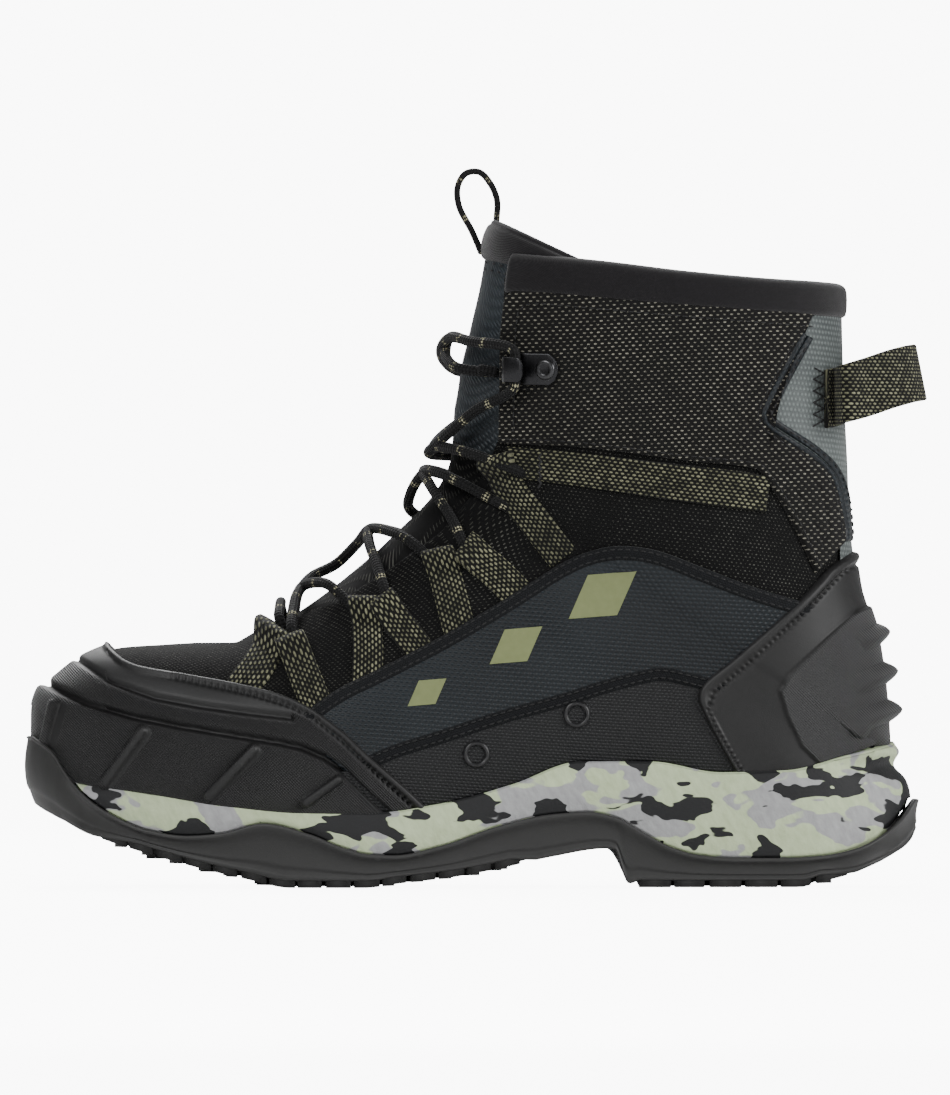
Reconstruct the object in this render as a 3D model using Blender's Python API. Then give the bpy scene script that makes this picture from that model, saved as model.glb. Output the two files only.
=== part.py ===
"""Wading boot: a lugged rubber sole, a foam midsole, a hollow woven upper and what is sewn to it.

Metres, +Z up. The toe points to -X, and the outer (lateral) side of this left boot faces -Y.
The origin is on the ground, under the middle of the heel.

A place on the side view is a pair of shares: along, from the toe (0) to the heel (1) as a share
of SOLE_LENGTH, and up, from the feather line (0) to the shaft's top (1) as a share of
SHAFT_HEIGHT. Heights in the sole are shares of SOLE_HEIGHT.
"""
import math

import bmesh
import bpy
import numpy as np
from mathutils import Vector
from mathutils.bvhtree import BVHTree

# Driving sizes.
SOLE_LENGTH = 0.3156
SOLE_HEIGHT = 0.040
SHAFT_HEIGHT = 0.174
UPPER_WIDTH = 0.101
HEEL_CENTRE = 0.776

# Walls, layers and clearances.
WALL = 0.0018
GAP = 0.00035
SEAM_GAP = 0.0005
TONGUE_THICKNESS = 0.0032
CAP_THICKNESS = 0.0018
RIM_RISE = 0.0013
RIM_WIDTH = 0.0045
COUNTER_THICKNESS = 0.0019
RIB_RISE = 0.0012
PANEL_THICKNESS = 0.0012
CUFF_THICKNESS = 0.0016
GORE_THICKNESS = 0.0009
WEBBING_THICKNESS = 0.0011
COLLAR_OUTER = 0.0024
COLLAR_INNER = 0.0040
INSOLE_THICKNESS = 0.0040
INSOLE_CLEARANCE = 0.0022
LUG_HEIGHT = 0.0032
FLOOR_THICKNESS = 0.0035
CUP_WALL = 0.0014
RIM_INSET = 0.0006
HALF_SPACE = 0.12

# Sections of the upper, from the toe's tip round the heel and up the shaft. Each section is a
# straight cut seen from the side, from the feather line or the back seam up to the ridge.
SECTION_COLUMNS = ("base_along", "base_up", "ridge_along", "ridge_up", "half", "base_shift",
                   "ridge_shift", "base_fill", "widest", "roundness")
SECTIONS = (
    (0.013, -0.004, 0.013, 0.140, 0.000, 0.070, 0.070, 0.985, 0.30, 2.5),
    (0.017, -0.005, 0.018, 0.165, 0.090, 0.070, 0.070, 0.985, 0.30, 2.5),
    (0.030, -0.008, 0.037, 0.196, 0.183, 0.065, 0.070, 0.985, 0.30, 2.6),
    (0.057, -0.015, 0.068, 0.236, 0.277, 0.060, 0.070, 0.985, 0.30, 2.6),
    (0.096, -0.023, 0.105, 0.258, 0.356, 0.050, 0.070, 0.98, 0.30, 2.5),
    (0.157, -0.039, 0.159, 0.265, 0.426, 0.035, 0.070, 0.965, 0.28, 2.4),
    (0.231, -0.062, 0.219, 0.273, 0.475, 0.015, 0.065, 0.96, 0.25, 2.2),
    (0.309, -0.076, 0.273, 0.310, 0.500, -0.005, 0.060, 0.95, 0.22, 2.1),
    (0.388, -0.078, 0.319, 0.361, 0.495, -0.020, 0.050, 0.94, 0.22, 2.0),
    (0.467, -0.059, 0.358, 0.415, 0.465, -0.030, 0.045, 0.925, 0.25, 2.0),
    (0.546, -0.021, 0.390, 0.464, 0.430, -0.035, 0.040, 0.90, 0.28, 2.0),
    (0.624, 0.026, 0.417, 0.511, 0.406, -0.030, 0.035, 0.88, 0.32, 2.0),
    (0.703, 0.026, 0.438, 0.547, 0.391, -0.025, 0.030, 0.886, 0.36, 2.0),
    (0.782, 0.004, 0.454, 0.580, 0.382, -0.015, 0.025, 0.90, 0.38, 2.0),
    (0.855, 0.008, 0.464, 0.609, 0.376, -0.005, 0.020, 0.87, 0.40, 2.05),
    (0.911, 0.034, 0.470, 0.633, 0.374, 0.000, 0.015, 0.72, 0.42, 2.1),
    (0.945, 0.053, 0.473, 0.656, 0.374, 0.000, 0.010, 0.44, 0.42, 2.15),
    (0.961, 0.065, 0.474, 0.678, 0.376, 0.000, 0.005, 0.00, 0.42, 2.2),
    (0.957, 0.173, 0.475, 0.707, 0.380, 0.000, 0.000, 0.00, 0.43, 2.2),
    (0.948, 0.285, 0.476, 0.743, 0.386, 0.000, 0.000, 0.00, 0.44, 2.2),
    (0.935, 0.398, 0.480, 0.786, 0.393, 0.000, 0.000, 0.00, 0.46, 2.25),
    (0.927, 0.520, 0.484, 0.835, 0.405, 0.000, 0.000, 0.00, 0.48, 2.3),
    (0.924, 0.653, 0.491, 0.888, 0.420, 0.000, 0.000, 0.00, 0.50, 2.3),
    (0.920, 0.795, 0.498, 0.943, 0.438, 0.000, 0.000, 0.00, 0.50, 2.3),
    (0.918, 0.946, 0.505, 0.998, 0.455, 0.000, 0.000, 0.00, 0.50, 2.3),
    (0.917, 1.046, 0.512, 1.071, 0.465, 0.000, 0.000, 0.00, 0.50, 2.3),
    (0.916, 1.142, 0.518, 1.142, 0.470, 0.000, 0.000, 0.00, 0.50, 2.3),
)
HEEL_CORNER = 17
SHAFT_START = 17.0
TOE_STATIONS = (0.0, 0.5, 1.0, 1.6, 2.3, 3.1, 4.0)
FOOT_STATIONS = np.linspace(5.0, 17.0, 12, endpoint=False)
SHAFT_STATIONS = np.linspace(17.0, 26.0, 9)
GIRTH_CELLS = 8

# Sole: side margins outside the feather line, by share of length, and heights.
SOLE_MARGIN = ((0.0, 0.0048), (0.06, 0.0052), (0.10, 0.0054), (0.25, 0.0060), (0.40, 0.0062),
               (0.55, 0.0052), (0.65, 0.0050), (0.80, 0.0062), (0.90, 0.0082), (0.96, 0.0112))
MIDSOLE_TOP_MARGIN = ((0.0, 0.0014), (0.10, 0.0026), (0.25, 0.0034), (0.40, 0.0036),
                      (0.55, 0.0031), (0.65, 0.0031), (0.80, 0.0036), (0.90, 0.0046),
                      (0.96, 0.0062))
TREAD_LINE = ((0.0, 0.71), (0.039, 0.57), (0.084, 0.43), (0.141, 0.29), (0.197, 0.17),
              (0.253, 0.07), (0.298, 0.0), (0.382, 0.0), (0.422, 0.04), (0.478, 0.09),
              (0.534, 0.17), (0.591, 0.27), (0.655, 0.345), (0.664, 0.33), (0.678, 0.02),
              (0.683, 0.0), (0.872, 0.0), (0.897, 0.05), (0.924, 0.10), (0.954, 0.19),
              (0.970, 0.25), (0.992, 0.37), (1.0, 0.51))
FLOOR_LINE = ((0.0, 0.88), (0.039, 0.745), (0.084, 0.60), (0.141, 0.46), (0.197, 0.34),
              (0.253, 0.24), (0.298, 0.17), (0.382, 0.17), (0.422, 0.21), (0.478, 0.26),
              (0.534, 0.35), (0.591, 0.45), (0.630, 0.49), (0.670, 0.44), (0.710, 0.32),
              (0.750, 0.23), (0.790, 0.21), (0.870, 0.21), (0.924, 0.27), (0.970, 0.42),
              (1.0, 0.60))
CUP_LINE = ((0.0, 1.33), (0.022, 1.21), (0.039, 1.03), (0.054, 0.89), (0.074, 0.75),
            (0.099, 0.63), (0.136, 0.51), (0.181, 0.46), (0.218, 0.48), (0.268, 0.57),
            (0.319, 0.48), (0.357, 0.36), (0.386, 0.30), (0.416, 0.29), (0.467, 0.37),
            (0.535, 0.55), (0.593, 0.65), (0.634, 0.67), (0.665, 0.62), (0.695, 0.49),
            (0.726, 0.36), (0.756, 0.29), (0.802, 0.26), (0.848, 0.26), (0.898, 0.28),
            (0.935, 0.34), (0.962, 0.45), (0.984, 0.60), (1.0, 0.77))
FEATHER_STATIONS = np.concatenate((TOE_STATIONS, FOOT_STATIONS, (HEEL_CORNER,)))
ON_THE_LINE = ((0.0, 0.0), (1.0, 0.0))
BETWEEN_STATIONS = 0.5 * (FEATHER_STATIONS[7:] + FEATHER_STATIONS[6:-1])
LOOP_STATIONS = np.sort(np.concatenate((FEATHER_STATIONS, BETWEEN_STATIONS,
                                        (12.55, 12.65))))

# Lines on the side view, as (along, up) pairs.
TOE_RIM = ((0.066, 0.37), (0.080, 0.325), (0.091, 0.269), (0.099, 0.244), (0.125, 0.216),
           (0.187, 0.196), (0.271, 0.169), (0.317, 0.138), (0.357, 0.089), (0.386, 0.040),
           (0.447, -0.057), (0.500, -0.160))
HEEL_RIM = ((1.02, 0.50), (0.962, 0.475), (0.935, 0.459), (0.904, 0.422), (0.889, 0.391),
            (0.861, 0.340), (0.800, 0.242), (0.765, 0.190), (0.757, 0.159), (0.762, 0.128),
            (0.784, 0.051), (0.813, -0.041), (0.84, -0.140))
QUARTER_TOP = ((0.250, 0.080), (0.316, 0.140), (0.399, 0.210), (0.468, 0.275), (0.541, 0.353),
               (0.602, 0.424), (0.638, 0.453), (0.670, 0.463), (0.712, 0.453), (0.763, 0.418),
               (0.816, 0.381), (0.872, 0.349), (0.930, 0.330))
QUARTER_SEAM = ((0.300, -0.010), (0.388, 0.030), (0.468, 0.077), (0.537, 0.118),
                (0.606, 0.153), (0.652, 0.179), (0.697, 0.200), (0.721, 0.204),
                (0.759, 0.189), (0.850, 0.150))
THROAT = ((0.253, 0.287), (0.267, 0.302), (0.309, 0.322), (0.360, 0.361), (0.416, 0.426),
          (0.467, 0.491), (0.501, 0.561), (0.523, 0.632), (0.535, 0.683), (0.538, 0.867),
          (0.540, 0.989), (0.541, 1.30))
CUFF_FRONT = ((0.547, 0.988), (0.541, 0.972), (0.536, 0.890), (0.534, 0.677))
CUFF_TOP = ((0.556, 0.994), (0.602, 0.989), (0.703, 0.972), (0.804, 0.957), (0.887, 0.945))
CUFF_BACK = ((0.887, 0.945), (0.850, 0.820), (0.831, 0.748), (0.830, 0.732), (0.838, 0.708),
             (0.885, 0.650), (0.908, 0.602), (0.920, 0.520), (0.922, 0.476))
CUFF_LOW = ((0.534, 0.677), (0.627, 0.669), (0.741, 0.642), (0.813, 0.628), (0.832, 0.606),
            (0.861, 0.520), (0.889, 0.412))
WEBBING_TOP = ((0.536, 0.668), (0.627, 0.660), (0.741, 0.633), (0.806, 0.620), (0.823, 0.606),
               (0.846, 0.545))
WEBBING_LOW = ((0.845, 0.541), (0.764, 0.553), (0.684, 0.566), (0.569, 0.591), (0.536, 0.606))
COLLAR_TOP = ((0.545, 1.066), (0.652, 1.048), (0.742, 1.028), (0.832, 1.014), (0.90, 1.008),
              (0.96, 1.000))
UPPER_TOP_DROP = 0.014

COLOURS = {
    "sole_rubber": ((0.060, 0.061, 0.062), 0.75, 0.0),
    "camo_foam": ((0.250, 0.260, 0.215), 0.80, 0.0),
    "toe_rubber": ((0.055, 0.056, 0.058), 0.55, 0.0),
    "black_mesh": ((0.020, 0.021, 0.022), 0.85, 0.0),
    "coated_textile": ((0.060, 0.068, 0.078), 0.60, 0.0),
    "olive_webbing": ((0.110, 0.110, 0.060), 0.85, 0.0),
    "cuff_weave": ((0.040, 0.042, 0.044), 0.85, 0.0),
    "neoprene": ((0.022, 0.021, 0.025), 0.90, 0.0),
    "lace_cord": ((0.025, 0.025, 0.026), 0.85, 0.0),
    "black_metal": ((0.030, 0.031, 0.033), 0.35, 0.8),
    "port_plastic": ((0.020, 0.020, 0.021), 0.45, 0.0),
    "insole_fabric": ((0.100, 0.102, 0.105), 0.90, 0.0),
}


def smooth_line(xs, ys, at):
    """Monotone cubic through the points (xs, ys), read at the places in `at`."""
    xs, ys, at = (np.asarray(a, dtype=float) for a in (xs, ys, at))
    step = np.diff(xs)
    slope = np.diff(ys) / step
    tangent = np.zeros_like(ys)
    same = slope[:-1] * slope[1:] > 0.0
    first = 2.0 * step[1:] + step[:-1]
    second = step[1:] + 2.0 * step[:-1]
    safe = np.where(same, slope[:-1], 1.0), np.where(same, slope[1:], 1.0)
    mean = (first + second) / (first / safe[0] + second / safe[1])
    tangent[1:-1] = np.where(same, mean, 0.0)
    tangent[0], tangent[-1] = slope[0], slope[-1]
    at = np.clip(at, xs[0], xs[-1])
    cell = np.clip(np.searchsorted(xs, at, side="right") - 1, 0, len(xs) - 2)
    width = step[cell]
    share = (at - xs[cell]) / width
    rest = 1.0 - share
    return (ys[cell] * (1.0 + 2.0 * share) * rest ** 2 + ys[cell + 1] * share ** 2 * (3.0 - 2.0 * share)
            + width * share * rest * (tangent[cell] * rest - tangent[cell + 1] * share))


def column(name, station):
    """A column of the section table, read at any station along the boot."""
    values = [row[SECTION_COLUMNS.index(name)] for row in SECTIONS]
    return smooth_line(range(len(SECTIONS)), values, station)


def x_at(along):
    return (np.asarray(along) - HEEL_CENTRE) * SOLE_LENGTH


def z_at(up):
    return SOLE_HEIGHT + np.asarray(up) * SHAFT_HEIGHT


def upper_point(station, girth, side):
    """Point of the upper's outer face.

    girth runs from 0 at the base to 1 at the ridge. Each section is a rounded superellipse
    that opens from its base fill to its full half width, then closes over the ridge.
    """
    station, girth = np.broadcast_arrays(np.asarray(station, float), np.asarray(girth, float))
    power = column("roundness", station)
    widest = column("widest", station)
    fill = np.maximum(column("base_fill", station), 0.0)
    angle = math.pi * np.abs(girth - 0.5)
    rise, reach = np.sin(angle), np.cos(angle)
    reach = np.where(reach < 1e-9, 0.0, reach)
    size = (rise ** power + reach ** power) ** (1.0 / power)
    rise, reach = rise / size, reach / size
    lower = girth < 0.5
    share = np.where(lower, widest * (1.0 - rise), widest + (1.0 - widest) * rise)
    filled = (fill ** power + (1.0 - fill ** power) * reach ** power) ** (1.0 / power)
    width = np.where(lower, filled, reach)
    along = column("base_along", station) * (1.0 - share) + column("ridge_along", station) * share
    up = column("base_up", station) * (1.0 - share) + column("ridge_up", station) * share
    shift = column("base_shift", station) * (1.0 - share) + column("ridge_shift", station) * share
    y = UPPER_WIDTH * (shift + side * width * column("half", station))
    return np.stack((x_at(along), y, z_at(up)), axis=-1)


def new_object(name, mesh, material):
    """Link a mesh as a named object with its own material."""
    obj = bpy.data.objects.new(name, mesh)
    PART.objects.link(obj)
    obj.data.materials.clear()
    obj.data.materials.append(MATERIALS[material])
    return obj


def mesh_of(verts, faces):
    """Mesh from corners and faces, merged, with its faces turned outwards."""
    form = bmesh.new()
    made = [form.verts.new(v) for v in verts]
    for face in faces:
        form.faces.new([made[i] for i in face])
    return finished(form)


def tidied(form, merge):
    """Merge corners closer than a distance, drop empty faces and face outwards."""
    bmesh.ops.remove_doubles(form, verts=form.verts, dist=merge)
    bmesh.ops.dissolve_degenerate(form, edges=form.edges, dist=1e-6)
    bmesh.ops.recalc_face_normals(form, faces=form.faces)
    if form.calc_volume(signed=True) < 0.0:
        bmesh.ops.reverse_faces(form, faces=form.faces)


def finished(form):
    """Hand over a tidied form as a mesh."""
    tidied(form, 1e-6)
    mesh = bpy.data.meshes.new("form")
    form.to_mesh(mesh)
    form.free()
    return mesh


def boolean(obj, cutter, operation):
    """Cut, join or keep what is common with an exact boolean, then drop the cutter."""
    step = obj.modifiers.new("step", "BOOLEAN")
    step.solver = "EXACT"
    step.operation = operation
    step.object = cutter
    bpy.context.view_layer.update()
    shaped = bpy.data.meshes.new_from_object(obj.evaluated_get(bpy.context.evaluated_depsgraph_get()))
    obj.modifiers.clear()
    obj.data = shaped
    bpy.data.objects.remove(cutter)
    clean(obj)


def clean(obj):
    """Merge slivers that a boolean leaves, and face outwards."""
    form = bmesh.new()
    form.from_mesh(obj.data)
    tidied(form, 5e-5)
    form.to_mesh(obj.data)
    form.free()


def upper_grid(first):
    """Corners of the upper's grid and its triangles, with the toe and the back seam closed.

    Every layer splits its quads the same way, so layers stay parallel.
    """
    stations = np.concatenate((TOE_STATIONS, FOOT_STATIONS, SHAFT_STATIONS))
    stations = stations[stations >= first]
    girths = np.linspace(0.0, 1.0, GIRTH_CELLS + 1)
    rows, cols = np.meshgrid(stations, girths, indexing="ij")
    lateral = upper_point(rows, cols, -1.0)
    medial = upper_point(rows, cols, 1.0)[:, -2::-1]
    points = np.concatenate((lateral, medial), axis=1)
    count, across = points.shape[:2]
    ids = np.arange(count * across).reshape(count, across)
    if stations[0] == 0.0:
        ids[0] = ids[0][np.minimum(np.arange(across), across - 1 - np.arange(across))]
    corner = int(np.argmin(np.abs(stations - HEEL_CORNER)))
    ids[corner:, -1] = ids[corner:, 0]
    faces = []
    for i in range(count - 1):
        for j in range(across - 1):
            a, b, c, d = (int(k) for k in (ids[i, j], ids[i, j + 1], ids[i + 1, j + 1], ids[i + 1, j]))
            halves = ((a, b, d), (b, c, d)) if j < GIRTH_CELLS else ((a, b, c), (a, c, d))
            faces += [list(half) for half in halves if len(set(half)) == 3]
    base = set(int(k) for k in np.concatenate((ids[:corner + 1, 0], ids[:corner + 1, -1])))
    return points.reshape(-1, 3), faces, base


def layer(inner, outer, first=0.0):
    """Closed shell between two offsets of the upper's outer face, from a station upwards."""
    points, faces, base = upper_grid(first)
    used = sorted({k for face in faces for k in face})
    place = {k: n for n, k in enumerate(used)}
    points = points[used]
    sheet = [[place[k] for k in face] for face in faces]
    normals = np.zeros_like(points)
    for face in sheet:
        a, b, c = points[face]
        normals[face] += np.cross(b - a, c - a)
    flow = (normals * points)[:, 1].sum()
    normals *= 1.0 if flow > 0 else -1.0
    for k in base:
        normals[place[k], 2] = 0.0
    normals /= np.linalg.norm(normals, axis=1)[:, None]
    count = len(points)
    verts = np.concatenate((points + normals * outer, points + normals * inner))
    faces = sheet + [[k + count for k in reversed(face)] for face in sheet]
    edges = {}
    for face in sheet:
        for a, b in zip(face, face[1:] + face[:1]):
            edges[(a, b)] = (b, a) in edges
            if (b, a) in edges:
                edges[(b, a)] = True
    faces += [[b, a, a + count, b + count] for (a, b), shared in edges.items() if not shared]
    return mesh_of(verts.tolist(), faces)


def curve_points(line, cells=2):
    """A side-view line in metres, rounded between its points."""
    line = np.asarray(line, dtype=float)
    before = np.vstack((2 * line[0] - line[1], line[:-1]))[:-1]
    after = np.vstack((line[1:], 2 * line[-1] - line[-2]))[1:]
    start, end = line[:-1], line[1:]
    parts = []
    for t in np.arange(cells) / cells:
        parts.append(0.5 * (2 * start + (end - before) * t
                            + (2 * before - 5 * start + 4 * end - after) * t ** 2
                            + (3 * start - before - 3 * end + after) * t ** 3))
    shares = np.vstack((np.stack(parts, axis=1).reshape(-1, 2), line[-1:]))
    return np.stack((x_at(shares[:, 0]), z_at(shares[:, 1])), axis=1)


def shifted(points, distance):
    """A side-view line in metres, moved sideways by a distance (to the left of its way)."""
    way = np.gradient(points, axis=0)
    way /= np.linalg.norm(way, axis=1)[:, None]
    return points + distance * np.stack((-way[:, 1], way[:, 0]), axis=1)


def prism(outline, y_from=-HALF_SPACE, y_to=HALF_SPACE):
    """Closed block with a side-view outline in metres, running across the boot."""
    count = len(outline)
    verts = [(x, y_from, z) for x, z in outline] + [(x, y_to, z) for x, z in outline]
    faces = [list(range(count)), list(range(2 * count - 1, count - 1, -1))]
    faces += [[i, (i + 1) % count, (i + 1) % count + count, i + count] for i in range(count)]
    mesh = mesh_of(verts, faces)
    obj = bpy.data.objects.new("cutter", mesh)
    CUTTERS.objects.link(obj)
    obj.hide_render = True
    obj.display_type = "WIRE"
    return obj


def box_corners(along_from, along_to, up_from, up_to):
    """Corners on the side view of a plain region, in metres."""
    xs, zs = x_at((along_from, along_to)), z_at((up_from, up_to))
    return np.array(((xs[0], zs[0]), (xs[1], zs[0]), (xs[1], zs[1]), (xs[0], zs[1])))


def toe_region(clearance):
    """Region in front of the toe cap's rim, grown by a clearance."""
    rim = shifted(curve_points(TOE_RIM), clearance)
    corners = box_corners(-0.1, -0.1, -0.5, 0.6)
    return np.vstack((rim, corners[:1], corners[2:3]))


def heel_region(clearance):
    """Region behind the heel counter's rim, grown by a clearance."""
    rim = shifted(curve_points(HEEL_RIM), -clearance)
    corners = box_corners(1.1, 1.1, -0.5, 0.5)
    return np.vstack((rim, corners[:1], corners[2:3]))


def sewn_piece(name, material, inner, outer, outline, side=0, keep_out=(), first=0.0):
    """Piece of the layer between two offsets, inside an outline and clear of its neighbours."""
    y_from, y_to = {0: (-HALF_SPACE, HALF_SPACE), -1: (-HALF_SPACE, 0.0), 1: (0.0, HALF_SPACE)}[side]
    obj = new_object(name, layer(inner, outer, first), material)
    boolean(obj, prism(outline, y_from, y_to), "INTERSECT")
    for region in keep_out:
        boolean(obj, prism(region), "DIFFERENCE")
    return obj


def feather_loop(margin_table, extra):
    """Closed plan loop outside the feather line: toe tip, outer side, heel, inner side."""
    lateral = upper_point(LOOP_STATIONS, 0.0, -1.0)
    medial = upper_point(LOOP_STATIONS, 0.0, 1.0)[-2:0:-1]
    loop = np.concatenate((lateral, medial))[:, :2]
    way = np.roll(loop, -1, axis=0) - np.roll(loop, 1, axis=0)
    way /= np.linalg.norm(way, axis=1)[:, None]
    along = loop[:, 0] / SOLE_LENGTH + HEEL_CENTRE
    table = np.asarray(margin_table)
    margin = smooth_line(table[:, 0], table[:, 1], along) + extra
    return loop + margin[:, None] * np.stack((way[:, 1], -way[:, 0]), axis=1)


def sole_height(table, x):
    """Height of a sole line at a place along the boot."""
    table = np.asarray(table)
    return SOLE_HEIGHT * smooth_line(table[:, 0], table[:, 1], x / SOLE_LENGTH + HEEL_CENTRE)


def feather_height():
    """Height of the feather line at each point of a loop."""
    x = feather_loop(ON_THE_LINE, 0.0)[:, 0]
    along = column("base_along", FEATHER_STATIONS)
    return np.interp(x, x_at(along), z_at(column("base_up", FEATHER_STATIONS)))


def ring(loop, height):
    return np.column_stack((loop, height))


def stacked(name, rings, material):
    """Closed solid through plan rings from the bottom up, capped straight across."""
    count = len(rings[0])
    half = count // 2
    verts = np.concatenate(rings).tolist()
    faces = []
    for level in range(len(rings) - 1):
        low, high = level * count, (level + 1) * count
        for i in range(count):
            k = (i + 1) % count
            faces.append([low + i, low + k, high + k, high + i])
    for start, turn in ((0, 1), ((len(rings) - 1) * count, -1)):
        for i in range(half):
            quad = [start + i, start + i + 1, start + count - i - 1, start + (count - i) % count]
            face = list(dict.fromkeys(quad))
            faces.append(face[::turn])
    return new_object(name, mesh_of(verts, faces), material)


def tread_height(x):
    return sole_height(TREAD_LINE, x)


def floor_height(x):
    """Height of the cup's floor, never thinner than the floor over the tread."""
    thinnest = tread_height(x) + LUG_HEIGHT + FLOOR_THICKNESS
    return np.maximum(sole_height(FLOOR_LINE, x), np.where(x > x_at(0.66), 0.0, thinnest))


def build_outsole():
    """Rubber cup with a wavy edge, a heel block and rows of blocky lugs."""
    rings = []
    bottom = feather_loop(SOLE_MARGIN, -0.0030)
    rings.append(ring(bottom, tread_height(bottom[:, 0]) + LUG_HEIGHT))
    low = feather_loop(SOLE_MARGIN, -0.0010)
    rings.append(ring(low, tread_height(low[:, 0]) + LUG_HEIGHT + 0.0010))
    full = feather_loop(SOLE_MARGIN, 0.0)
    cup = sole_height(CUP_LINE, full[:, 0])
    rings.append(ring(full, 0.45 * (tread_height(full[:, 0]) + LUG_HEIGHT) + 0.55 * cup))
    for extra, drop in ((-0.0003, 0.0012), (-RIM_INSET, 0.0), (-RIM_INSET - CUP_WALL, 0.0)):
        loop = feather_loop(SOLE_MARGIN, extra)
        rings.append(ring(loop, sole_height(CUP_LINE, loop[:, 0]) - drop))
    inside = -RIM_INSET - CUP_WALL
    for extra, rise in ((inside - 0.0002, 0.0008), (inside - 0.0010, 0.0)):
        loop = feather_loop(SOLE_MARGIN, extra)
        rings.append(ring(loop, floor_height(loop[:, 0]) + rise))
    outsole = stacked("outsole", rings, "sole_rubber")
    boolean(outsole, lug_blocks(), "UNION")
    return outsole


# Rows of lugs: where they start and end along the sole, how many, and their share of the gap.
LUG_ROWS = (
    # first, last, count, across from, across to (shares of the half width, outer side < 0)
    (0.085, 0.560, 10, -0.985, -0.60),
    (0.085, 0.560, 10, 0.60, 0.985),
    (0.105, 0.545, 7, -0.42, -0.08),
    (0.130, 0.570, 7, 0.08, 0.42),
    (0.690, 0.905, 5, -0.985, -0.55),
    (0.690, 0.905, 5, 0.55, 0.985),
    (0.690, 0.905, 3, -0.36, 0.36),
)
LUG_FILL = 0.74
LUG_ROOT = 0.0012


def lug_blocks():
    """All the lugs as one mesh of blocks whose undersides lie on the tread line."""
    edge = feather_loop(SOLE_MARGIN, -0.0030)
    half = len(edge) // 2
    outer, inner = edge[:half + 1], np.vstack((edge[half:], edge[:1]))[::-1]
    verts, faces = [], []
    for first, last, count, near, far in LUG_ROWS:
        pitch = (last - first) / count
        for n in range(count):
            ends = x_at((first + pitch * n, first + pitch * (n + LUG_FILL)))
            corners = []
            for x in ends:
                low = np.interp(x, outer[:, 0], outer[:, 1])
                high = np.interp(x, inner[:, 0], inner[:, 1])
                middle, reach = 0.5 * (low + high), 0.5 * (high - low)
                corners += [(x, middle + near * reach), (x, middle + far * reach)]
            start = len(verts)
            for x, y in corners:
                verts.append((x, y, float(tread_height(x))))
            for x, y in corners:
                verts.append((x, y, float(tread_height(x)) + LUG_HEIGHT + LUG_ROOT))
            for face in ((0, 1, 3, 2), (4, 6, 7, 5), (0, 4, 5, 1), (2, 3, 7, 6), (0, 2, 6, 4),
                         (1, 5, 7, 3)):
                faces.append([start + k for k in face])
    blocks = bpy.data.objects.new("cutter", mesh_of(verts, faces))
    CUTTERS.objects.link(blocks)
    return blocks


def build_midsole():
    """Foam layer in the outsole's cup, with a ledge round the upper."""
    inside = -RIM_INSET - CUP_WALL - GAP
    rings = []
    for extra, rise in ((inside - 0.0014, 2 * GAP), (inside - 0.0005, 0.0008 + 3 * GAP)):
        loop = feather_loop(SOLE_MARGIN, extra)
        rings.append(ring(loop, floor_height(loop[:, 0]) + rise))
    loop = feather_loop(SOLE_MARGIN, inside)
    top = feather_height() - GAP
    cup = np.minimum(sole_height(CUP_LINE, loop[:, 0]), top - 0.0035)
    rings.append(ring(loop, cup))
    toe_free = np.clip((loop[:, 0] / SOLE_LENGTH + HEEL_CENTRE - 0.08) / 0.04, 0.0, 1.0)
    proud = loop + (feather_loop(SOLE_MARGIN, -0.0012) - loop) * toe_free[:, None]
    over_rim = np.minimum(sole_height(CUP_LINE, proud[:, 0]), top - 0.0035)
    rings.append(ring(proud, over_rim + 0.0012))
    upper_edge = feather_loop(MIDSOLE_TOP_MARGIN, -0.0004)
    rings.append(ring(upper_edge, top - 0.0016))
    ledge = feather_loop(MIDSOLE_TOP_MARGIN, -0.0012)
    rings.append(ring(ledge, top))
    return stacked("midsole", rings, "camo_foam")


def build_insole():
    """Thin footbed inside the upper's wall."""
    rings = []
    for extra, rise in ((-0.0006, 0.0), (0.0, 0.0008), (0.0, INSOLE_THICKNESS - 0.0008),
                        (-0.0012, INSOLE_THICKNESS)):
        loop = feather_loop(ON_THE_LINE, -WALL - INSOLE_CLEARANCE + extra)
        rings.append(ring(loop, feather_height() + rise))
    return stacked("insole", rings, "insole_fabric")


def throat_region(clearance):
    """Region in front of the throat's edge."""
    edge = shifted(curve_points(THROAT), clearance)
    corners = box_corners(0.0, 0.0, 0.27, 1.3)
    return np.vstack((edge, corners[2:3], corners[:1]))


def above(line, drop):
    """Region above a side-view line that is lowered by a share of the shaft's height."""
    line = [(along, up - drop) for along, up in line]
    line = [(line[0][0] - 0.3, line[0][1] + 0.05)] + line + [(1.2, line[-1][1])]
    points = curve_points(line, cells=2)
    corners = box_corners(-0.2, 1.3, 0.0, 1.6)
    return np.vstack((points, corners[2:]))


def build_upper():
    """One hollow wall, open underneath, at the throat and at the top."""
    upper = new_object("upper", layer(-WALL, 0.0), "black_mesh")
    boolean(upper, prism(throat_region(0.0)), "DIFFERENCE")
    boolean(upper, prism(above(COLLAR_TOP, UPPER_TOP_DROP)), "DIFFERENCE")
    return upper


TONGUE_OUTLINE = ((0.250, 0.25), (0.330, 0.28), (0.430, 0.345), (0.510, 0.44), (0.580, 0.56),
                  (0.630, 0.70), (0.655, 0.90), (0.660, 1.000), (0.648, 1.040), (0.619, 1.064),
                  (0.590, 1.094), (0.562, 1.118), (0.540, 1.131), (0.517, 1.126), (0.490, 1.122))


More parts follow.
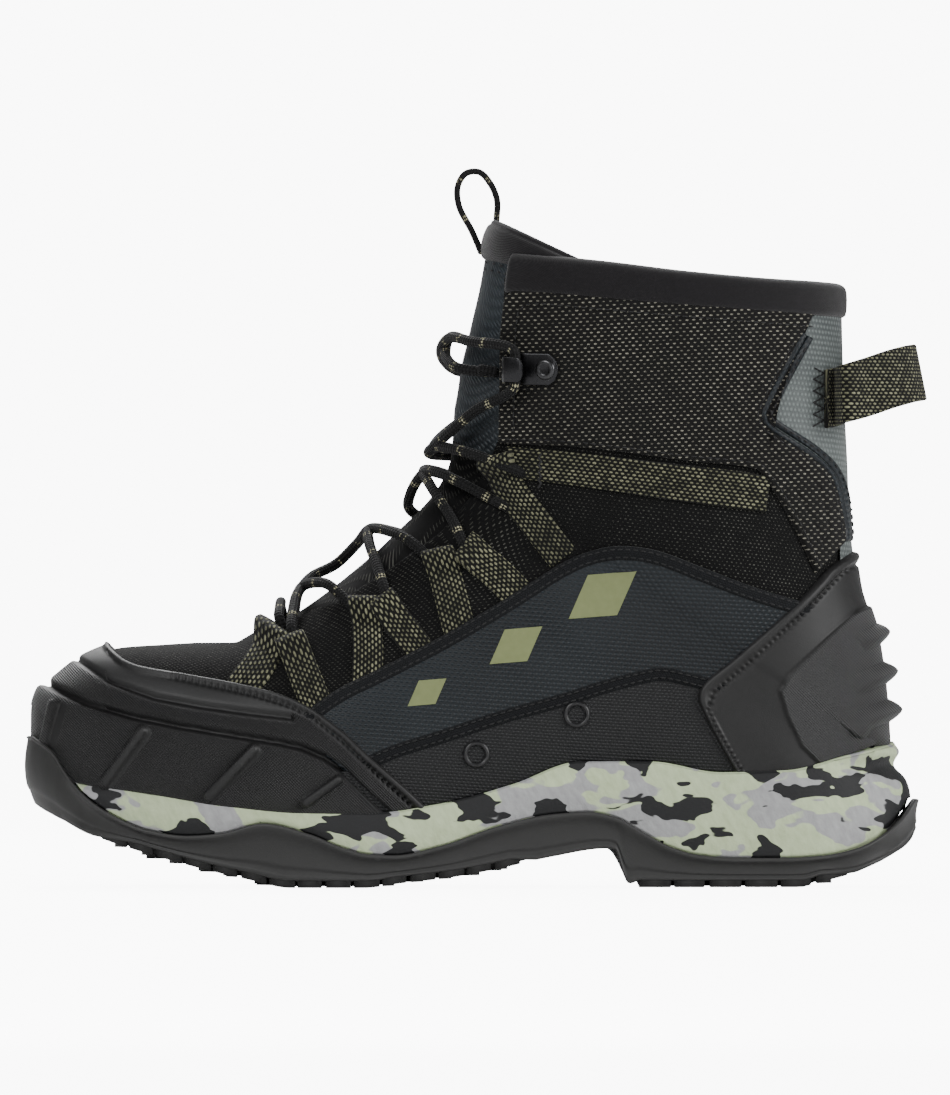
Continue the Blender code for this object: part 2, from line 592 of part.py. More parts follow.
def tongue_region(clearance):
    """Region of the tongue on the side view, grown by a clearance at its sides."""
    outline = shifted(curve_points(TONGUE_OUTLINE, cells=2), -clearance)
    corners = box_corners(0.1, 0.1, 0.30, 1.122)
    return np.vstack((outline, corners[2:3], corners[:1]))


def build_tongue():
    """Padded sheet under the throat, from the vamp to above the collar."""
    inner = -WALL - GAP - TONGUE_THICKNESS
    return sewn_piece("tongue", "neoprene", inner, -WALL - GAP, tongue_region(0.0))


def build_toe_cap():
    """Moulded cap wrapped round the toe, and the proud rim along its edge."""
    sewn_piece("toe_cap", "toe_rubber", GAP, GAP + CAP_THICKNESS, toe_region(-RIM_WIDTH - GAP))
    rim_inner = shifted(curve_points(TOE_RIM), -RIM_WIDTH)[::-1]
    sewn_piece("toe_rim", "toe_rubber", GAP, GAP + CAP_THICKNESS + RIM_RISE,
               np.vstack((curve_points(TOE_RIM), rim_inner)))


HEEL_RIBS = ((0.283, 0.301), (0.203, 0.223), (0.128, 0.150))
RIB_FRONT = 0.935


def build_heel_counter():
    """Moulded counter round the heel, and the three ribs across its back."""
    sewn_piece("heel_counter", "toe_rubber", GAP, GAP + COUNTER_THICKNESS, heel_region(0.0))
    inner = 2 * GAP + COUNTER_THICKNESS
    for number, (low, high) in enumerate(HEEL_RIBS, start=1):
        tip = np.array((x_at((RIB_FRONT, 1.05, 1.05)), z_at((0.5 * (low + high) - 0.03, low, high)))).T
        sewn_piece("heel_rib_%d" % number, "toe_rubber", inner, inner + RIB_RISE, tip)


def build_quarters():
    """Side and drain panels, cuff and ankle webbing, the same on both sides."""
    keep_out = (toe_region(SEAM_GAP), heel_region(SEAM_GAP))
    top, seam = curve_points(QUARTER_TOP), curve_points(QUARTER_SEAM)
    side_outline = np.vstack((shifted(seam, 0.5 * SEAM_GAP), top[::-1]))
    below = box_corners(0.25, 0.90, -0.30, 0.0)[1::-1]
    drain_outline = np.vstack((shifted(seam, -0.5 * SEAM_GAP), below))
    cuff_outline = np.vstack((curve_points(CUFF_FRONT), curve_points(CUFF_LOW),
                              curve_points(CUFF_BACK)[::-1], curve_points(CUFF_TOP)[::-1]))
    webbing_outline = np.vstack((curve_points(WEBBING_TOP), curve_points(WEBBING_LOW)))
    for word, side in (("lateral", -1), ("medial", 1)):
        sewn_piece("side_panel_" + word, "coated_textile", GAP, GAP + PANEL_THICKNESS,
                   side_outline, side, keep_out)
        sewn_piece("drain_panel_" + word, "black_mesh", GAP, GAP + PANEL_THICKNESS,
                   drain_outline, side, keep_out)
        sewn_piece("cuff_panel_" + word, "cuff_weave", GAP, GAP + CUFF_THICKNESS,
                   cuff_outline, side, (heel_region(SEAM_GAP),))
        sewn_piece("ankle_webbing_" + word, "olive_webbing", GAP, GAP + WEBBING_THICKNESS,
                   webbing_outline, side)


def build_back_gore():
    """Coated strip down the back of the shaft, between the two cuff panels."""
    edge = shifted(curve_points(CUFF_BACK), SEAM_GAP)
    corners = box_corners(1.05, 1.05, 0.476, 0.943)
    outline = np.vstack((edge, corners[:1], corners[2:3]))
    return sewn_piece("back_gore", "coated_textile", GAP, GAP + GORE_THICKNESS, outline, 0,
                      (heel_region(SEAM_GAP),))


def build_collar():
    """Padded band over the upper's top edge, inside and out."""
    low_edge = [(0.545, 1.000)] + [(along, up + 0.006) for along, up in CUFF_TOP] + [(0.96, 0.943)]
    outline = np.vstack((curve_points(low_edge, cells=2), curve_points(COLLAR_TOP, cells=2)[::-1]))
    collar = sewn_piece("collar", "neoprene", -WALL - GAP - COLLAR_INNER, GAP + COLLAR_OUTER, outline,
                        first=SHAFT_START)
    core = new_object("core", layer(-WALL - GAP, GAP, SHAFT_START), "neoprene")
    top = [(along, up - UPPER_TOP_DROP + 0.003) for along, up in COLLAR_TOP]
    top = [(0.3, top[0][1] + 0.02)] + top + [(1.1, top[-1][1])]
    below = np.vstack((curve_points(top, cells=2), box_corners(0.3, 1.1, 0.5, 1.0)[1::-1]))
    boolean(core, prism(below), "INTERSECT")
    boolean(collar, core, "DIFFERENCE")
    beside_tongue = sewn_piece("beside", "neoprene", -WALL - 2 * COLLAR_INNER, -WALL,
                               tongue_region(SEAM_GAP), first=SHAFT_START)
    boolean(collar, beside_tongue, "DIFFERENCE")
    return collar


def on_facets(place, out):
    """The same place on the flat facets that every layer is offset from."""
    reach = 0.010
    hit = FACETS.ray_cast(place + out * reach, -out, 2 * reach)[0]
    return place if hit is None else hit


def surface_place(along, up, side, lift=0.0):
    """Point over the upper's outer face at a side-view place, and the way out from the face."""
    def depth(x, z):
        low, high = 0.0, float(len(SECTIONS) - 1)
        for _ in range(40):
            station = 0.5 * (low + high)
            base = np.array((x_at(column("base_along", station)), z_at(column("base_up", station))))
            ridge = np.array((x_at(column("ridge_along", station)), z_at(column("ridge_up", station))))
            way = ridge - base
            if way[0] * (z - base[1]) - way[1] * (x - base[0]) < 0.0:
                low = station
            else:
                high = station
        share = np.clip(np.dot((x - base[0], z - base[1]), way) / np.dot(way, way), 0.0, 1.0)
        widest, power = column("widest", station), column("roundness", station)
        fill = max(float(column("base_fill", station)), 0.0)
        if share < widest:
            reach = 1.0 - (1.0 - share / widest) ** power
            width = (fill ** power + (1.0 - fill ** power) * reach) ** (1.0 / power)
        else:
            width = (1.0 - ((share - widest) / (1.0 - widest)) ** power) ** (1.0 / power)
        shift = column("base_shift", station) * (1.0 - share) + column("ridge_shift", station) * share
        return float(UPPER_WIDTH * (shift + side * width * column("half", station)))

    x, z = float(x_at(along)), float(z_at(up))
    step = 0.001
    slope_along = (depth(x + step, z) - depth(x - step, z)) / (2 * step)
    slope_up = (depth(x, z + step) - depth(x, z - step)) / (2 * step)
    out = side * Vector((-slope_along, 1.0, -slope_up)).normalized()
    return on_facets(Vector((x, depth(x, z), z)), out) + out * lift, out


# Lace keepers on the side view: the foot of each leg and the top between them.
KEEPERS = (
    ((0.252, 0.160), (0.289, 0.285), (0.322, 0.166)),
    ((0.383, 0.193), (0.398, 0.372), (0.455, 0.278)),
    ((0.486, 0.316), (0.483, 0.478), (0.555, 0.380)),
    ((0.606, 0.470), (0.566, 0.555), (0.540, 0.630)),
)
KEEPER_WIDTH = 0.0090
KEEPER_THICKNESS = 0.0011


def build_keepers():
    """Webbing loops that hold the lace, four a side, tucked under the side panels."""
    below_panel = np.vstack((shifted(curve_points(QUARTER_TOP), SEAM_GAP),
                             box_corners(0.2, 0.95, -0.3, -0.2)[1::-1]))
    webbing = np.vstack((shifted(curve_points(WEBBING_TOP), SEAM_GAP),
                         shifted(curve_points(WEBBING_LOW), SEAM_GAP)))
    keep_out = (below_panel, webbing, throat_region(-SEAM_GAP), toe_region(SEAM_GAP))
    for number, line in enumerate(KEEPERS, start=1):
        middle = np.stack((x_at([p[0] for p in line]), z_at([p[1] for p in line])), axis=1)
        outline = np.vstack((shifted(middle, 0.5 * KEEPER_WIDTH),
                             shifted(middle, -0.5 * KEEPER_WIDTH)[::-1]))
        for word, side in (("lateral", -1), ("medial", 1)):
            sewn_piece("lace_keeper_" + word + "_%d" % number, "olive_webbing", GAP,
                       GAP + KEEPER_THICKNESS, outline, side, keep_out)


def local_frame(place, out, forward):
    """Axes at a place on a side: forward along the face, up along it, and out of it."""
    forward = (Vector(forward) - out * out.dot(Vector(forward))).normalized()
    return forward, out.cross(forward).normalized()


def turned_disc(name, material, place, out, profile, sides=20):
    """Body of revolution about the way out of a face: profile holds (radius, lift) pairs."""
    first, second = local_frame(place, out, (-1.0, 0.0, 0.0))
    verts, faces = [], []
    for radius, lift in profile:
        for k in range(sides):
            angle = 2.0 * math.pi * k / sides
            spoke = first * math.cos(angle) + second * math.sin(angle)
            verts.append(tuple(place + spoke * radius + out * lift))
    rows = len(profile)
    for i in range(rows):
        for k in range(sides):
            n = (k + 1) % sides
            j = (i + 1) % rows
            faces.append([i * sides + k, i * sides + n, j * sides + n, j * sides + k])
    return new_object(name, mesh_of(verts, faces), material)


PORTS = ((0.507, 0.042), (0.620, 0.123))
PORT_RADIUS = 0.0048
PORT_HOLE = 0.0031
PORT_HEIGHT = 0.0013


def build_drain_ports():
    """Rings of the drain ports on the lower panels, two a side."""
    for number, (along, up) in enumerate(PORTS, start=1):
        for word, side in (("lateral", -1), ("medial", 1)):
            lift = 2 * GAP + PANEL_THICKNESS + 0.0002
            place, out = surface_place(along, up, side, lift)
            profile = ((PORT_HOLE, 0.0), (PORT_RADIUS, 0.0), (PORT_RADIUS, 0.6 * PORT_HEIGHT),
                       (PORT_RADIUS - 0.0006, PORT_HEIGHT), (PORT_HOLE, PORT_HEIGHT))
            turned_disc("drain_port_" + word + "_%d" % number, "port_plastic", place, out, profile)


HOOK_PLATE = (0.0170, 0.0120, 0.0010)
HOOK_CENTRE = (0.578, 0.829)
RIVET_RADIUS = 0.0034
RIVET_HEIGHT = 0.0012
CLAW_WIDTH = 0.0096
CLAW_METAL = 0.0011
CLAW_REACH = 0.0058


def hook_frame(side):
    """Place of a hook's plate on the cuff, with its ways forward, up and out."""
    place, out = surface_place(*HOOK_CENTRE, side, 2 * GAP + CUFF_THICKNESS + 0.0003)
    forward, up = local_frame(place, out, (-1.0, 0.0, 0.0))
    return place, forward, up if up.z > 0.0 else -up, out


def hook_point(side, rise):
    """Point of the lace inside a hook's claw, at a height over the claw's middle."""
    place, forward, up, out = hook_frame(side)
    inside = HOOK_PLATE[2] + 0.5 * LACE_DIAMETER + 2 * GAP
    return place + forward * (0.5 * HOOK_PLATE[0] - 0.0014) + up * rise + out * inside


def build_lace_hooks():
    """Stamped hooks riveted to the cuff: a plate, a rivet's head and an open claw."""
    for word, side in (("lateral", -1), ("medial", 1)):
        place, forward, up, out = hook_frame(side)
        length, height, metal = HOOK_PLATE
        half = 0.5 * length
        # Profile of the plate and claw in the plane of forward and out.
        path = ((-half, 0.0), (half, 0.0), (half + 0.0012, 0.0004),
                (half + 0.0027, 0.0026), (half + 0.0021, 0.0054), (half - 0.0004, 0.0072),
                (half - 0.0004 - CLAW_REACH, 0.0079))
        inner = [(a, b) for a, b in path]
        outer = []
        for n, (a, b) in enumerate(path):
            before, after = path[max(n - 1, 0)], path[min(n + 1, len(path) - 1)]
            way = Vector((after[0] - before[0], after[1] - before[1])).normalized()
            outer.append((a - way.y * metal, b + way.x * metal))
        outline = inner + outer[::-1]
        verts, count = [], len(outline)
        for edge in (-0.5, 0.5):
            for n, (a, b) in enumerate(outline):
                on_plate = n in (0, 1, count - 1, count - 2)
                across = edge * (height if on_plate else CLAW_WIDTH)
                verts.append(tuple(place + forward * a + out * b + up * across))
        faces = []
        cells = len(path) - 1
        for start, turn in ((0, 1), (count, -1)):
            for n in range(cells):
                quad = [start + n, start + n + 1, start + count - 2 - n, start + count - 1 - n]
                faces.append(quad[::turn])
        for n in range(count):
            k = (n + 1) % count
            faces.append([n, k, k + count, n + count])
        hook = new_object("lace_hook_" + word, mesh_of(verts, faces), "black_metal")
        rivet_at = place - forward * 0.0040
        rivet = turned_disc("rivet", "black_metal", rivet_at, out,
                            ((0.0001, 0.3 * metal), (RIVET_RADIUS, 0.3 * metal),
                             (RIVET_RADIUS, metal + 0.5 * RIVET_HEIGHT),
                             (0.7 * RIVET_RADIUS, metal + RIVET_HEIGHT),
                             (0.0001, metal + RIVET_HEIGHT)), 14)
        boolean(hook, rivet, "UNION")


def tube(name, points, diameter, material, gap_points=2.4):
    """Round cord along chosen points, rounded between them, with closed ends."""
    points = np.asarray(points, dtype=float)
    fine = []
    padded = np.vstack((2 * points[0] - points[1], points, 2 * points[-1] - points[-2]))
    for n in range(len(points) - 1):
        a, b, c, d = padded[n:n + 4]
        for t in np.linspace(0.0, 1.0, 8, endpoint=False):
            fine.append(0.5 * (2 * b + (c - a) * t + (2 * a - 5 * b + 4 * c - d) * t ** 2
                               + (3 * b - a - 3 * c + d) * t ** 3))
    fine = np.array(fine + [points[-1]])
    run = np.concatenate(((0.0,), np.cumsum(np.linalg.norm(np.diff(fine, axis=0), axis=1))))
    count = max(4, int(round(run[-1] / (gap_points * diameter))) + 1)
    at = np.linspace(0.0, run[-1], count)
    spaced = np.stack([np.interp(at, run, fine[:, k]) for k in range(3)], axis=1)
    curve = bpy.data.curves.new(name, "CURVE")
    curve.dimensions = "3D"
    curve.bevel_depth = 0.5 * diameter
    curve.bevel_resolution = 2
    curve.use_fill_caps = True
    spline = curve.splines.new("POLY")
    spline.points.add(count - 1)
    for point, place in zip(spline.points, spaced):
        point.co = (*place, 1.0)
    guide = bpy.data.objects.new("guide", curve)
    CUTTERS.objects.link(guide)
    bpy.context.view_layer.update()
    mesh = bpy.data.meshes.new_from_object(guide.evaluated_get(bpy.context.evaluated_depsgraph_get()))
    bpy.data.objects.remove(guide)
    obj = new_object(name, mesh, material)
    clean(obj)
    return obj


def face_place(station, across, lift):
    """Point over the upper's face; across runs from the outer side (-) over the ridge (0)."""
    def on_face(u, w):
        return upper_point(u, 1.0 - abs(w), -1.0 if w < 0.0 else 1.0)

    step = 0.01
    along = on_face(station + step, across) - on_face(station - step, across)
    over = on_face(station, across + step) - on_face(station, across - step)
    out = Vector(np.cross(along, over)).normalized()
    if out.z < out.x:
        out.negate()
    return on_facets(Vector(on_face(station, across)), out) + out * lift


# Lace strands as hand-chosen places on the upper: station, across, and lift over the face.
LACE_DIAMETER = 0.0038
LACE_STRANDS = {
    "lace_bar": (
        ((7.30, -0.132, 0.0040), (7.36, -0.08, 0.0042), (7.42, 0.0, 0.0044), (7.36, 0.08, 0.0042),
         (7.30, 0.132, 0.0040)),
    ),
    "lace_crossing_low": (
        ((7.50, -0.190, 0.0038), (7.62, -0.13, 0.0040), (7.80, -0.06, 0.0043), (8.00, 0.0, 0.0048),
         (8.35, 0.06, 0.0070), (9.00, 0.11, 0.0088), (9.70, 0.09, 0.0082), (10.30, 0.0, 0.0055),
         (10.70, -0.10, 0.0043), (11.00, -0.17, 0.0040), (11.30, -0.235, 0.0038)),
        ((7.50, 0.190, 0.0038), (7.62, 0.13, 0.0040), (7.80, 0.06, 0.0043), (8.00, 0.0, 0.0048),
         (8.35, -0.07, 0.0046), (8.60, -0.12, 0.0042), (8.97, -0.190, 0.0038)),
        ((9.72, -0.240, 0.0038), (9.88, -0.17, 0.0040), (10.05, -0.08, 0.0044),
         (10.30, 0.0, 0.0055), (10.70, 0.10, 0.0046), (11.00, 0.16, 0.0041),
         (11.30, 0.235, 0.0038)),
    ),
    "lace_crossing_mid": (
        ((12.30, -0.255, 0.0038), (12.75, -0.19, 0.0040), (13.30, -0.10, 0.0044),
         (13.90, 0.0, 0.0055), (14.50, 0.09, 0.0046), (14.90, 0.15, 0.0041),
         (15.30, 0.225, 0.0038)),
        ((12.30, 0.255, 0.0038), (11.95, 0.17, 0.0044), (11.75, 0.09, 0.0046),
         (12.20, 0.03, 0.0046), (13.10, 0.0, 0.0056), (13.90, -0.03, 0.0052),
         (14.50, -0.09, 0.0046), (14.90, -0.15, 0.0041), (15.30, -0.225, 0.0038)),
    ),
    "lace_crossing_high": (
        ((18.10, -0.248, 0.0038), (17.70, -0.17, 0.0041), (17.00, -0.08, 0.0044),
         (16.45, 0.0, 0.0048), (17.30, 0.06, 0.0046), (18.50, 0.12, 0.0044),
         (19.80, 0.190, 0.0043), "medial hook", (22.15, 0.17, 0.0050), (22.10, 0.07, 0.0050),
         (21.70, 0.0, 0.0050), (21.25, -0.07, 0.0048), (21.08, -0.14, 0.0044),
         (21.30, -0.190, 0.0044)),
        ((18.10, 0.248, 0.0038), (17.40, 0.17, 0.0043), (16.40, 0.10, 0.0050),
         (15.75, 0.03, 0.0052), (16.00, -0.01, 0.0062), (17.00, -0.06, 0.0052),
         (18.30, -0.12, 0.0046), (19.80, -0.190, 0.0043), "lateral hook",
         (22.12, -0.17, 0.0052), (22.02, -0.07, 0.0054), (21.55, 0.0, 0.0064),
         (21.18, 0.07, 0.0056), (21.02, 0.14, 0.0046), (21.26, 0.190, 0.0044)),
    ),
}


def strand_points(strand):
    """Places of a strand in metres, with its way through a hook's claw written out."""
    points = []
    for place in strand:
        if isinstance(place, str):
            side = -1 if place.startswith("lateral") else 1
            points += [hook_point(side, rise) for rise in (-0.0065, 0.0, 0.0065)]
        else:
            points.append(face_place(*place))
    return points


def build_laces():
    """The lace's bar and crossings over the tongue, joined where strands cross."""
    for name, strands in LACE_STRANDS.items():
        joined = None
        for strand in strands:
            obj = tube(name if joined is None else "strand", strand_points(strand), LACE_DIAMETER,
                       "lace_cord")
            if joined is None:
                joined = obj
            else:
                boolean(joined, obj, "UNION")


TONGUE_LOOP_DIAMETER = 0.0023
TONGUE_LOOP = ((0.5140, 1.065, -0.030), (0.5030, 1.112, -0.034), (0.488, 1.165, -0.028),
               (0.4865, 1.205, -0.014), (0.4955, 1.232, 0.0), (0.511, 1.235, 0.012),
               (0.524, 1.210, 0.020), (0.5310, 1.178, 0.024), (0.5305, 1.140, 0.026))


def build_tongue_loop():
    """Pull loop of thin cord at the tongue's top."""
    points = [(float(x_at(along)), share * UPPER_WIDTH, float(z_at(up)))
              for along, up, share in TONGUE_LOOP]
    tube("tongue_pull_loop", points, TONGUE_LOOP_DIAMETER, "lace_cord", 2.0)


STRAP_THICKNESS = 0.0018
STRAP_SEWN = ((0.897, 0.768), (0.906, 0.771))
STRAP_LEAN = 0.20
# Free part of the heel strap: along, up, share of the width off the middle, half height.
STRAP_FREE = ((0.925, 0.780, 0.330, 0.0104), (0.950, 0.793, 0.275, 0.0104),
              (0.976, 0.809, 0.220, 0.0102), (0.996, 0.820, 0.140, 0.0100),
              (1.005, 0.823, 0.060, 0.0100), (1.0065, 0.824, 0.0, 0.0100))
STRAP_SEWN_HALF = 0.0105


def build_heel_strap():
    """Pull loop of wide webbing behind the shaft, its free end leaning forward at the top."""
    lift = 2 * GAP + GORE_THICKNESS + 0.5 * STRAP_THICKNESS + 0.0003
    middle = []
    for along, up in STRAP_SEWN:
        place, _ = surface_place(along, up, -1, lift)
        middle.append((place.x, place.y, place.z, STRAP_SEWN_HALF))
    for along, up, share, half in STRAP_FREE:
        middle.append((float(x_at(along)), -share * UPPER_WIDTH, float(z_at(up)), half))
    middle += [(x, -y, z, half) for x, y, z, half in middle[-2::-1]]
    middle = np.array(middle)
    way = np.gradient(middle[:, :2], axis=0)
    way /= np.linalg.norm(way, axis=1)[:, None]
    side = 0.5 * STRAP_THICKNESS * np.stack((-way[:, 1], way[:, 0]), axis=1)
    verts = []
    sewn_end, free_end = x_at(STRAP_SEWN[-1][0]), x_at(STRAP_FREE[3][0])
    for (x, y, z, half), (dx, dy) in zip(middle, side):
        lean = STRAP_LEAN * min(max((x - sewn_end) / (free_end - sewn_end), 0.0), 1.0)
        for turn, rise in ((1, -half), (1, half), (-1, half), (-1, -half)):
            verts.append((x + turn * dx - lean * rise, y + turn * dy, z + rise))
    faces = [[0, 1, 2, 3], [len(verts) - 1 - k for k in range(4)]]
    for n in range(len(middle) - 1):
        for k in range(4):
            j = (k + 1) % 4
            faces.append([4 * n + k, 4 * n + j, 4 * n + 4 + j, 4 * n + 4 + k])
    new_object("heel_pull_loop", mesh_of(verts, faces), "olive_webbing")


for leftover in list(bpy.data.objects):
    bpy.data.objects.remove(leftover)
PART = bpy.data.collections.new("wading_boot")
CUTTERS = bpy.data.collections.new("cutters")
bpy.context.scene.collection.children.link(PART)
bpy.context.scene.collection.children.link(CUTTERS)
MATERIALS = {}
for title, (colour, roughness, metallic) in COLOURS.items():
    MATERIALS[title] = bpy.data.materials.new(title)
    MATERIALS[title].use_nodes = True
    shader = MATERIALS[title].node_tree.nodes["Principled BSDF"]
    shader.inputs["Base Color"].default_value = (*colour, 1.0)
    shader.inputs["Roughness"].default_value = roughness
    shader.inputs["Metallic"].default_value = metallic

grid_points, grid_faces, _ = upper_grid(0.0)
FACETS = BVHTree.FromPolygons(grid_points.tolist(), grid_faces)

build_outsole()
build_midsole()
build_insole()
build_upper()
build_tongue()
build_toe_cap()
build_heel_counter()
build_quarters()
build_back_gore()
build_collar()
build_keepers()
build_drain_ports()
build_lace_hooks()
build_laces()
build_tongue_loop()
build_heel_strap()
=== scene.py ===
import math

import bmesh
import bpy
import numpy as np
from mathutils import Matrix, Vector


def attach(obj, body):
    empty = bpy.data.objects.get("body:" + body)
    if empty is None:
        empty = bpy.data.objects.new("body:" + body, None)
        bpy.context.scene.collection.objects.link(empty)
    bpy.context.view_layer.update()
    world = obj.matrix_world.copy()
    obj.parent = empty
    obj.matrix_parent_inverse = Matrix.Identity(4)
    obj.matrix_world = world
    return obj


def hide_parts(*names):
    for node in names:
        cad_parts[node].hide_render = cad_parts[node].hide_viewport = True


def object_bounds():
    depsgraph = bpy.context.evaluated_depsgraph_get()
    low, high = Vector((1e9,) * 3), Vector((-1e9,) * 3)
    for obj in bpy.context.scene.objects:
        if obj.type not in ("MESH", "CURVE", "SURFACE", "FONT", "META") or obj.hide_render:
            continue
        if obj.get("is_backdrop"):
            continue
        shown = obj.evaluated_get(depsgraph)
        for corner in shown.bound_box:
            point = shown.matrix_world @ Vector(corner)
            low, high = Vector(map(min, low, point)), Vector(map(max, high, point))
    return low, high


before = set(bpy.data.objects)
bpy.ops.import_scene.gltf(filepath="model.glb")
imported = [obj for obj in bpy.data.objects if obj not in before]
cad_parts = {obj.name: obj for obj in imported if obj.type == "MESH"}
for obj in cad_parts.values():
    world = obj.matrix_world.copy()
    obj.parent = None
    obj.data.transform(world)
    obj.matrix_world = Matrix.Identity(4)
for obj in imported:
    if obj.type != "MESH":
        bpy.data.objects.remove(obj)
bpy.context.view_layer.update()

# View: a long lens level with the boot's middle, square to its outer side, toe to the left.
scene = bpy.context.scene
camera = bpy.data.objects.new("camera", bpy.data.cameras.new("camera"))
camera.data.sensor_fit = "HORIZONTAL"
camera.data.sensor_width = 36.0
camera.data.lens = 636.0
camera.data.clip_end = 20.0
camera.location = (-0.0852, -6.00, 0.1207)
camera.rotation_euler = (math.radians(90.0), 0.0, 0.0)
scene.collection.objects.link(camera)
scene.camera = camera
scene.render.resolution_x = 950
scene.render.resolution_y = 1095

# Stage: a pale floor, a bright even surround and four soft lamps.
FLOOR_FRONT, FLOOR_BACK, CURVE_RADIUS, BACKDROP_TOP = -4.6, 1.2, 0.8, 4.0
profile = [(FLOOR_FRONT, 0.0), (FLOOR_BACK, 0.0)]
profile += [(FLOOR_BACK + CURVE_RADIUS * math.sin(a), CURVE_RADIUS - CURVE_RADIUS * math.cos(a))
            for a in np.linspace(0.1, 1.57, 16)]
profile.append((FLOOR_BACK + CURVE_RADIUS, BACKDROP_TOP))
verts = [(x, y, z - 0.0006) for y, z in profile for x in (-4.0, 4.0)]
faces = [(2 * n, 2 * n + 1, 2 * n + 3, 2 * n + 2) for n in range(len(profile) - 1)]
floor_mesh = bpy.data.meshes.new("floor")
floor_mesh.from_pydata(verts, [], faces)
for face in floor_mesh.polygons:
    face.use_smooth = True
floor = bpy.data.objects.new("floor", floor_mesh)
scene.collection.objects.link(floor)
floor_look = bpy.data.materials.new("floor_pale")
floor_look.use_nodes = True
shine = floor_look.node_tree.nodes["Principled BSDF"]
shine.inputs["Base Color"].default_value = (0.88, 0.88, 0.88, 1.0)
shine.inputs["Roughness"].default_value = 0.9
shine.inputs["Emission Color"].default_value = (1.0, 1.0, 1.0, 1.0)
seen = floor_look.node_tree.nodes.new("ShaderNodeLightPath")
glow = floor_look.node_tree.nodes.new("ShaderNodeMath")
glow.operation = "MULTIPLY"
glow.inputs[1].default_value = 9.0
floor_look.node_tree.links.new(seen.outputs["Is Camera Ray"], glow.inputs[0])
floor_look.node_tree.links.new(glow.outputs[0], shine.inputs["Emission Strength"])
floor_mesh.materials.append(floor_look)
floor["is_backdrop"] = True
world = bpy.data.worlds.new("surround")
world.use_nodes = True
world.node_tree.nodes["Background"].inputs["Color"].default_value = (1.0, 1.0, 1.0, 1.0)
world.node_tree.nodes["Background"].inputs["Strength"].default_value = 0.20
scene.world = world
for name, place, aim, size, power in (
        ("lamp_key", (-0.9, -1.3, 1.3), (-0.08, 0.0, 0.10), 0.9, 19.0),
        ("lamp_fill", (1.4, -0.7, 0.7), (-0.02, 0.0, 0.10), 0.8, 22.0),
        ("lamp_back", (-0.3, 0.9, 1.0), (-0.08, 0.0, 0.12), 0.7, 14.0),
        ("lamp_low", (-0.1, -1.9, 0.45), (-0.08, 0.0, 0.06), 0.6, 4.0)):
    lamp = bpy.data.objects.new(name, bpy.data.lights.new(name, "AREA"))
    lamp.data.energy = power
    lamp.data.size = size
    lamp.location = place
    way = np.array(aim) - np.array(place)
    lamp.rotation_euler = (math.atan2(math.hypot(way[0], way[1]), -way[2]), 0.0, math.atan2(-way[0], way[1]))
    scene.collection.objects.link(lamp)
    lamp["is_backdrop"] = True

# Upper: a black woven shell, lasted in one piece and stitched to the midsole's edge. It is
# open at the throat and the top, and shows on the vamp, beside the lace and on the quarter.
SOLE_LENGTH, SOLE_HEIGHT, SHAFT_HEIGHT = 0.3156, 0.040, 0.174
UPPER_WIDTH, HEEL_CENTRE, WALL = 0.101, 0.776, 0.0018
OUTER, INNER = -1.0, 1.0
SIDES = (OUTER, INNER)
WELD = 2e-6
SECTION_COLUMNS = ("base_along", "base_up", "ridge_along", "ridge_up", "half", "base_shift",
                   "ridge_shift", "base_fill", "widest", "roundness")
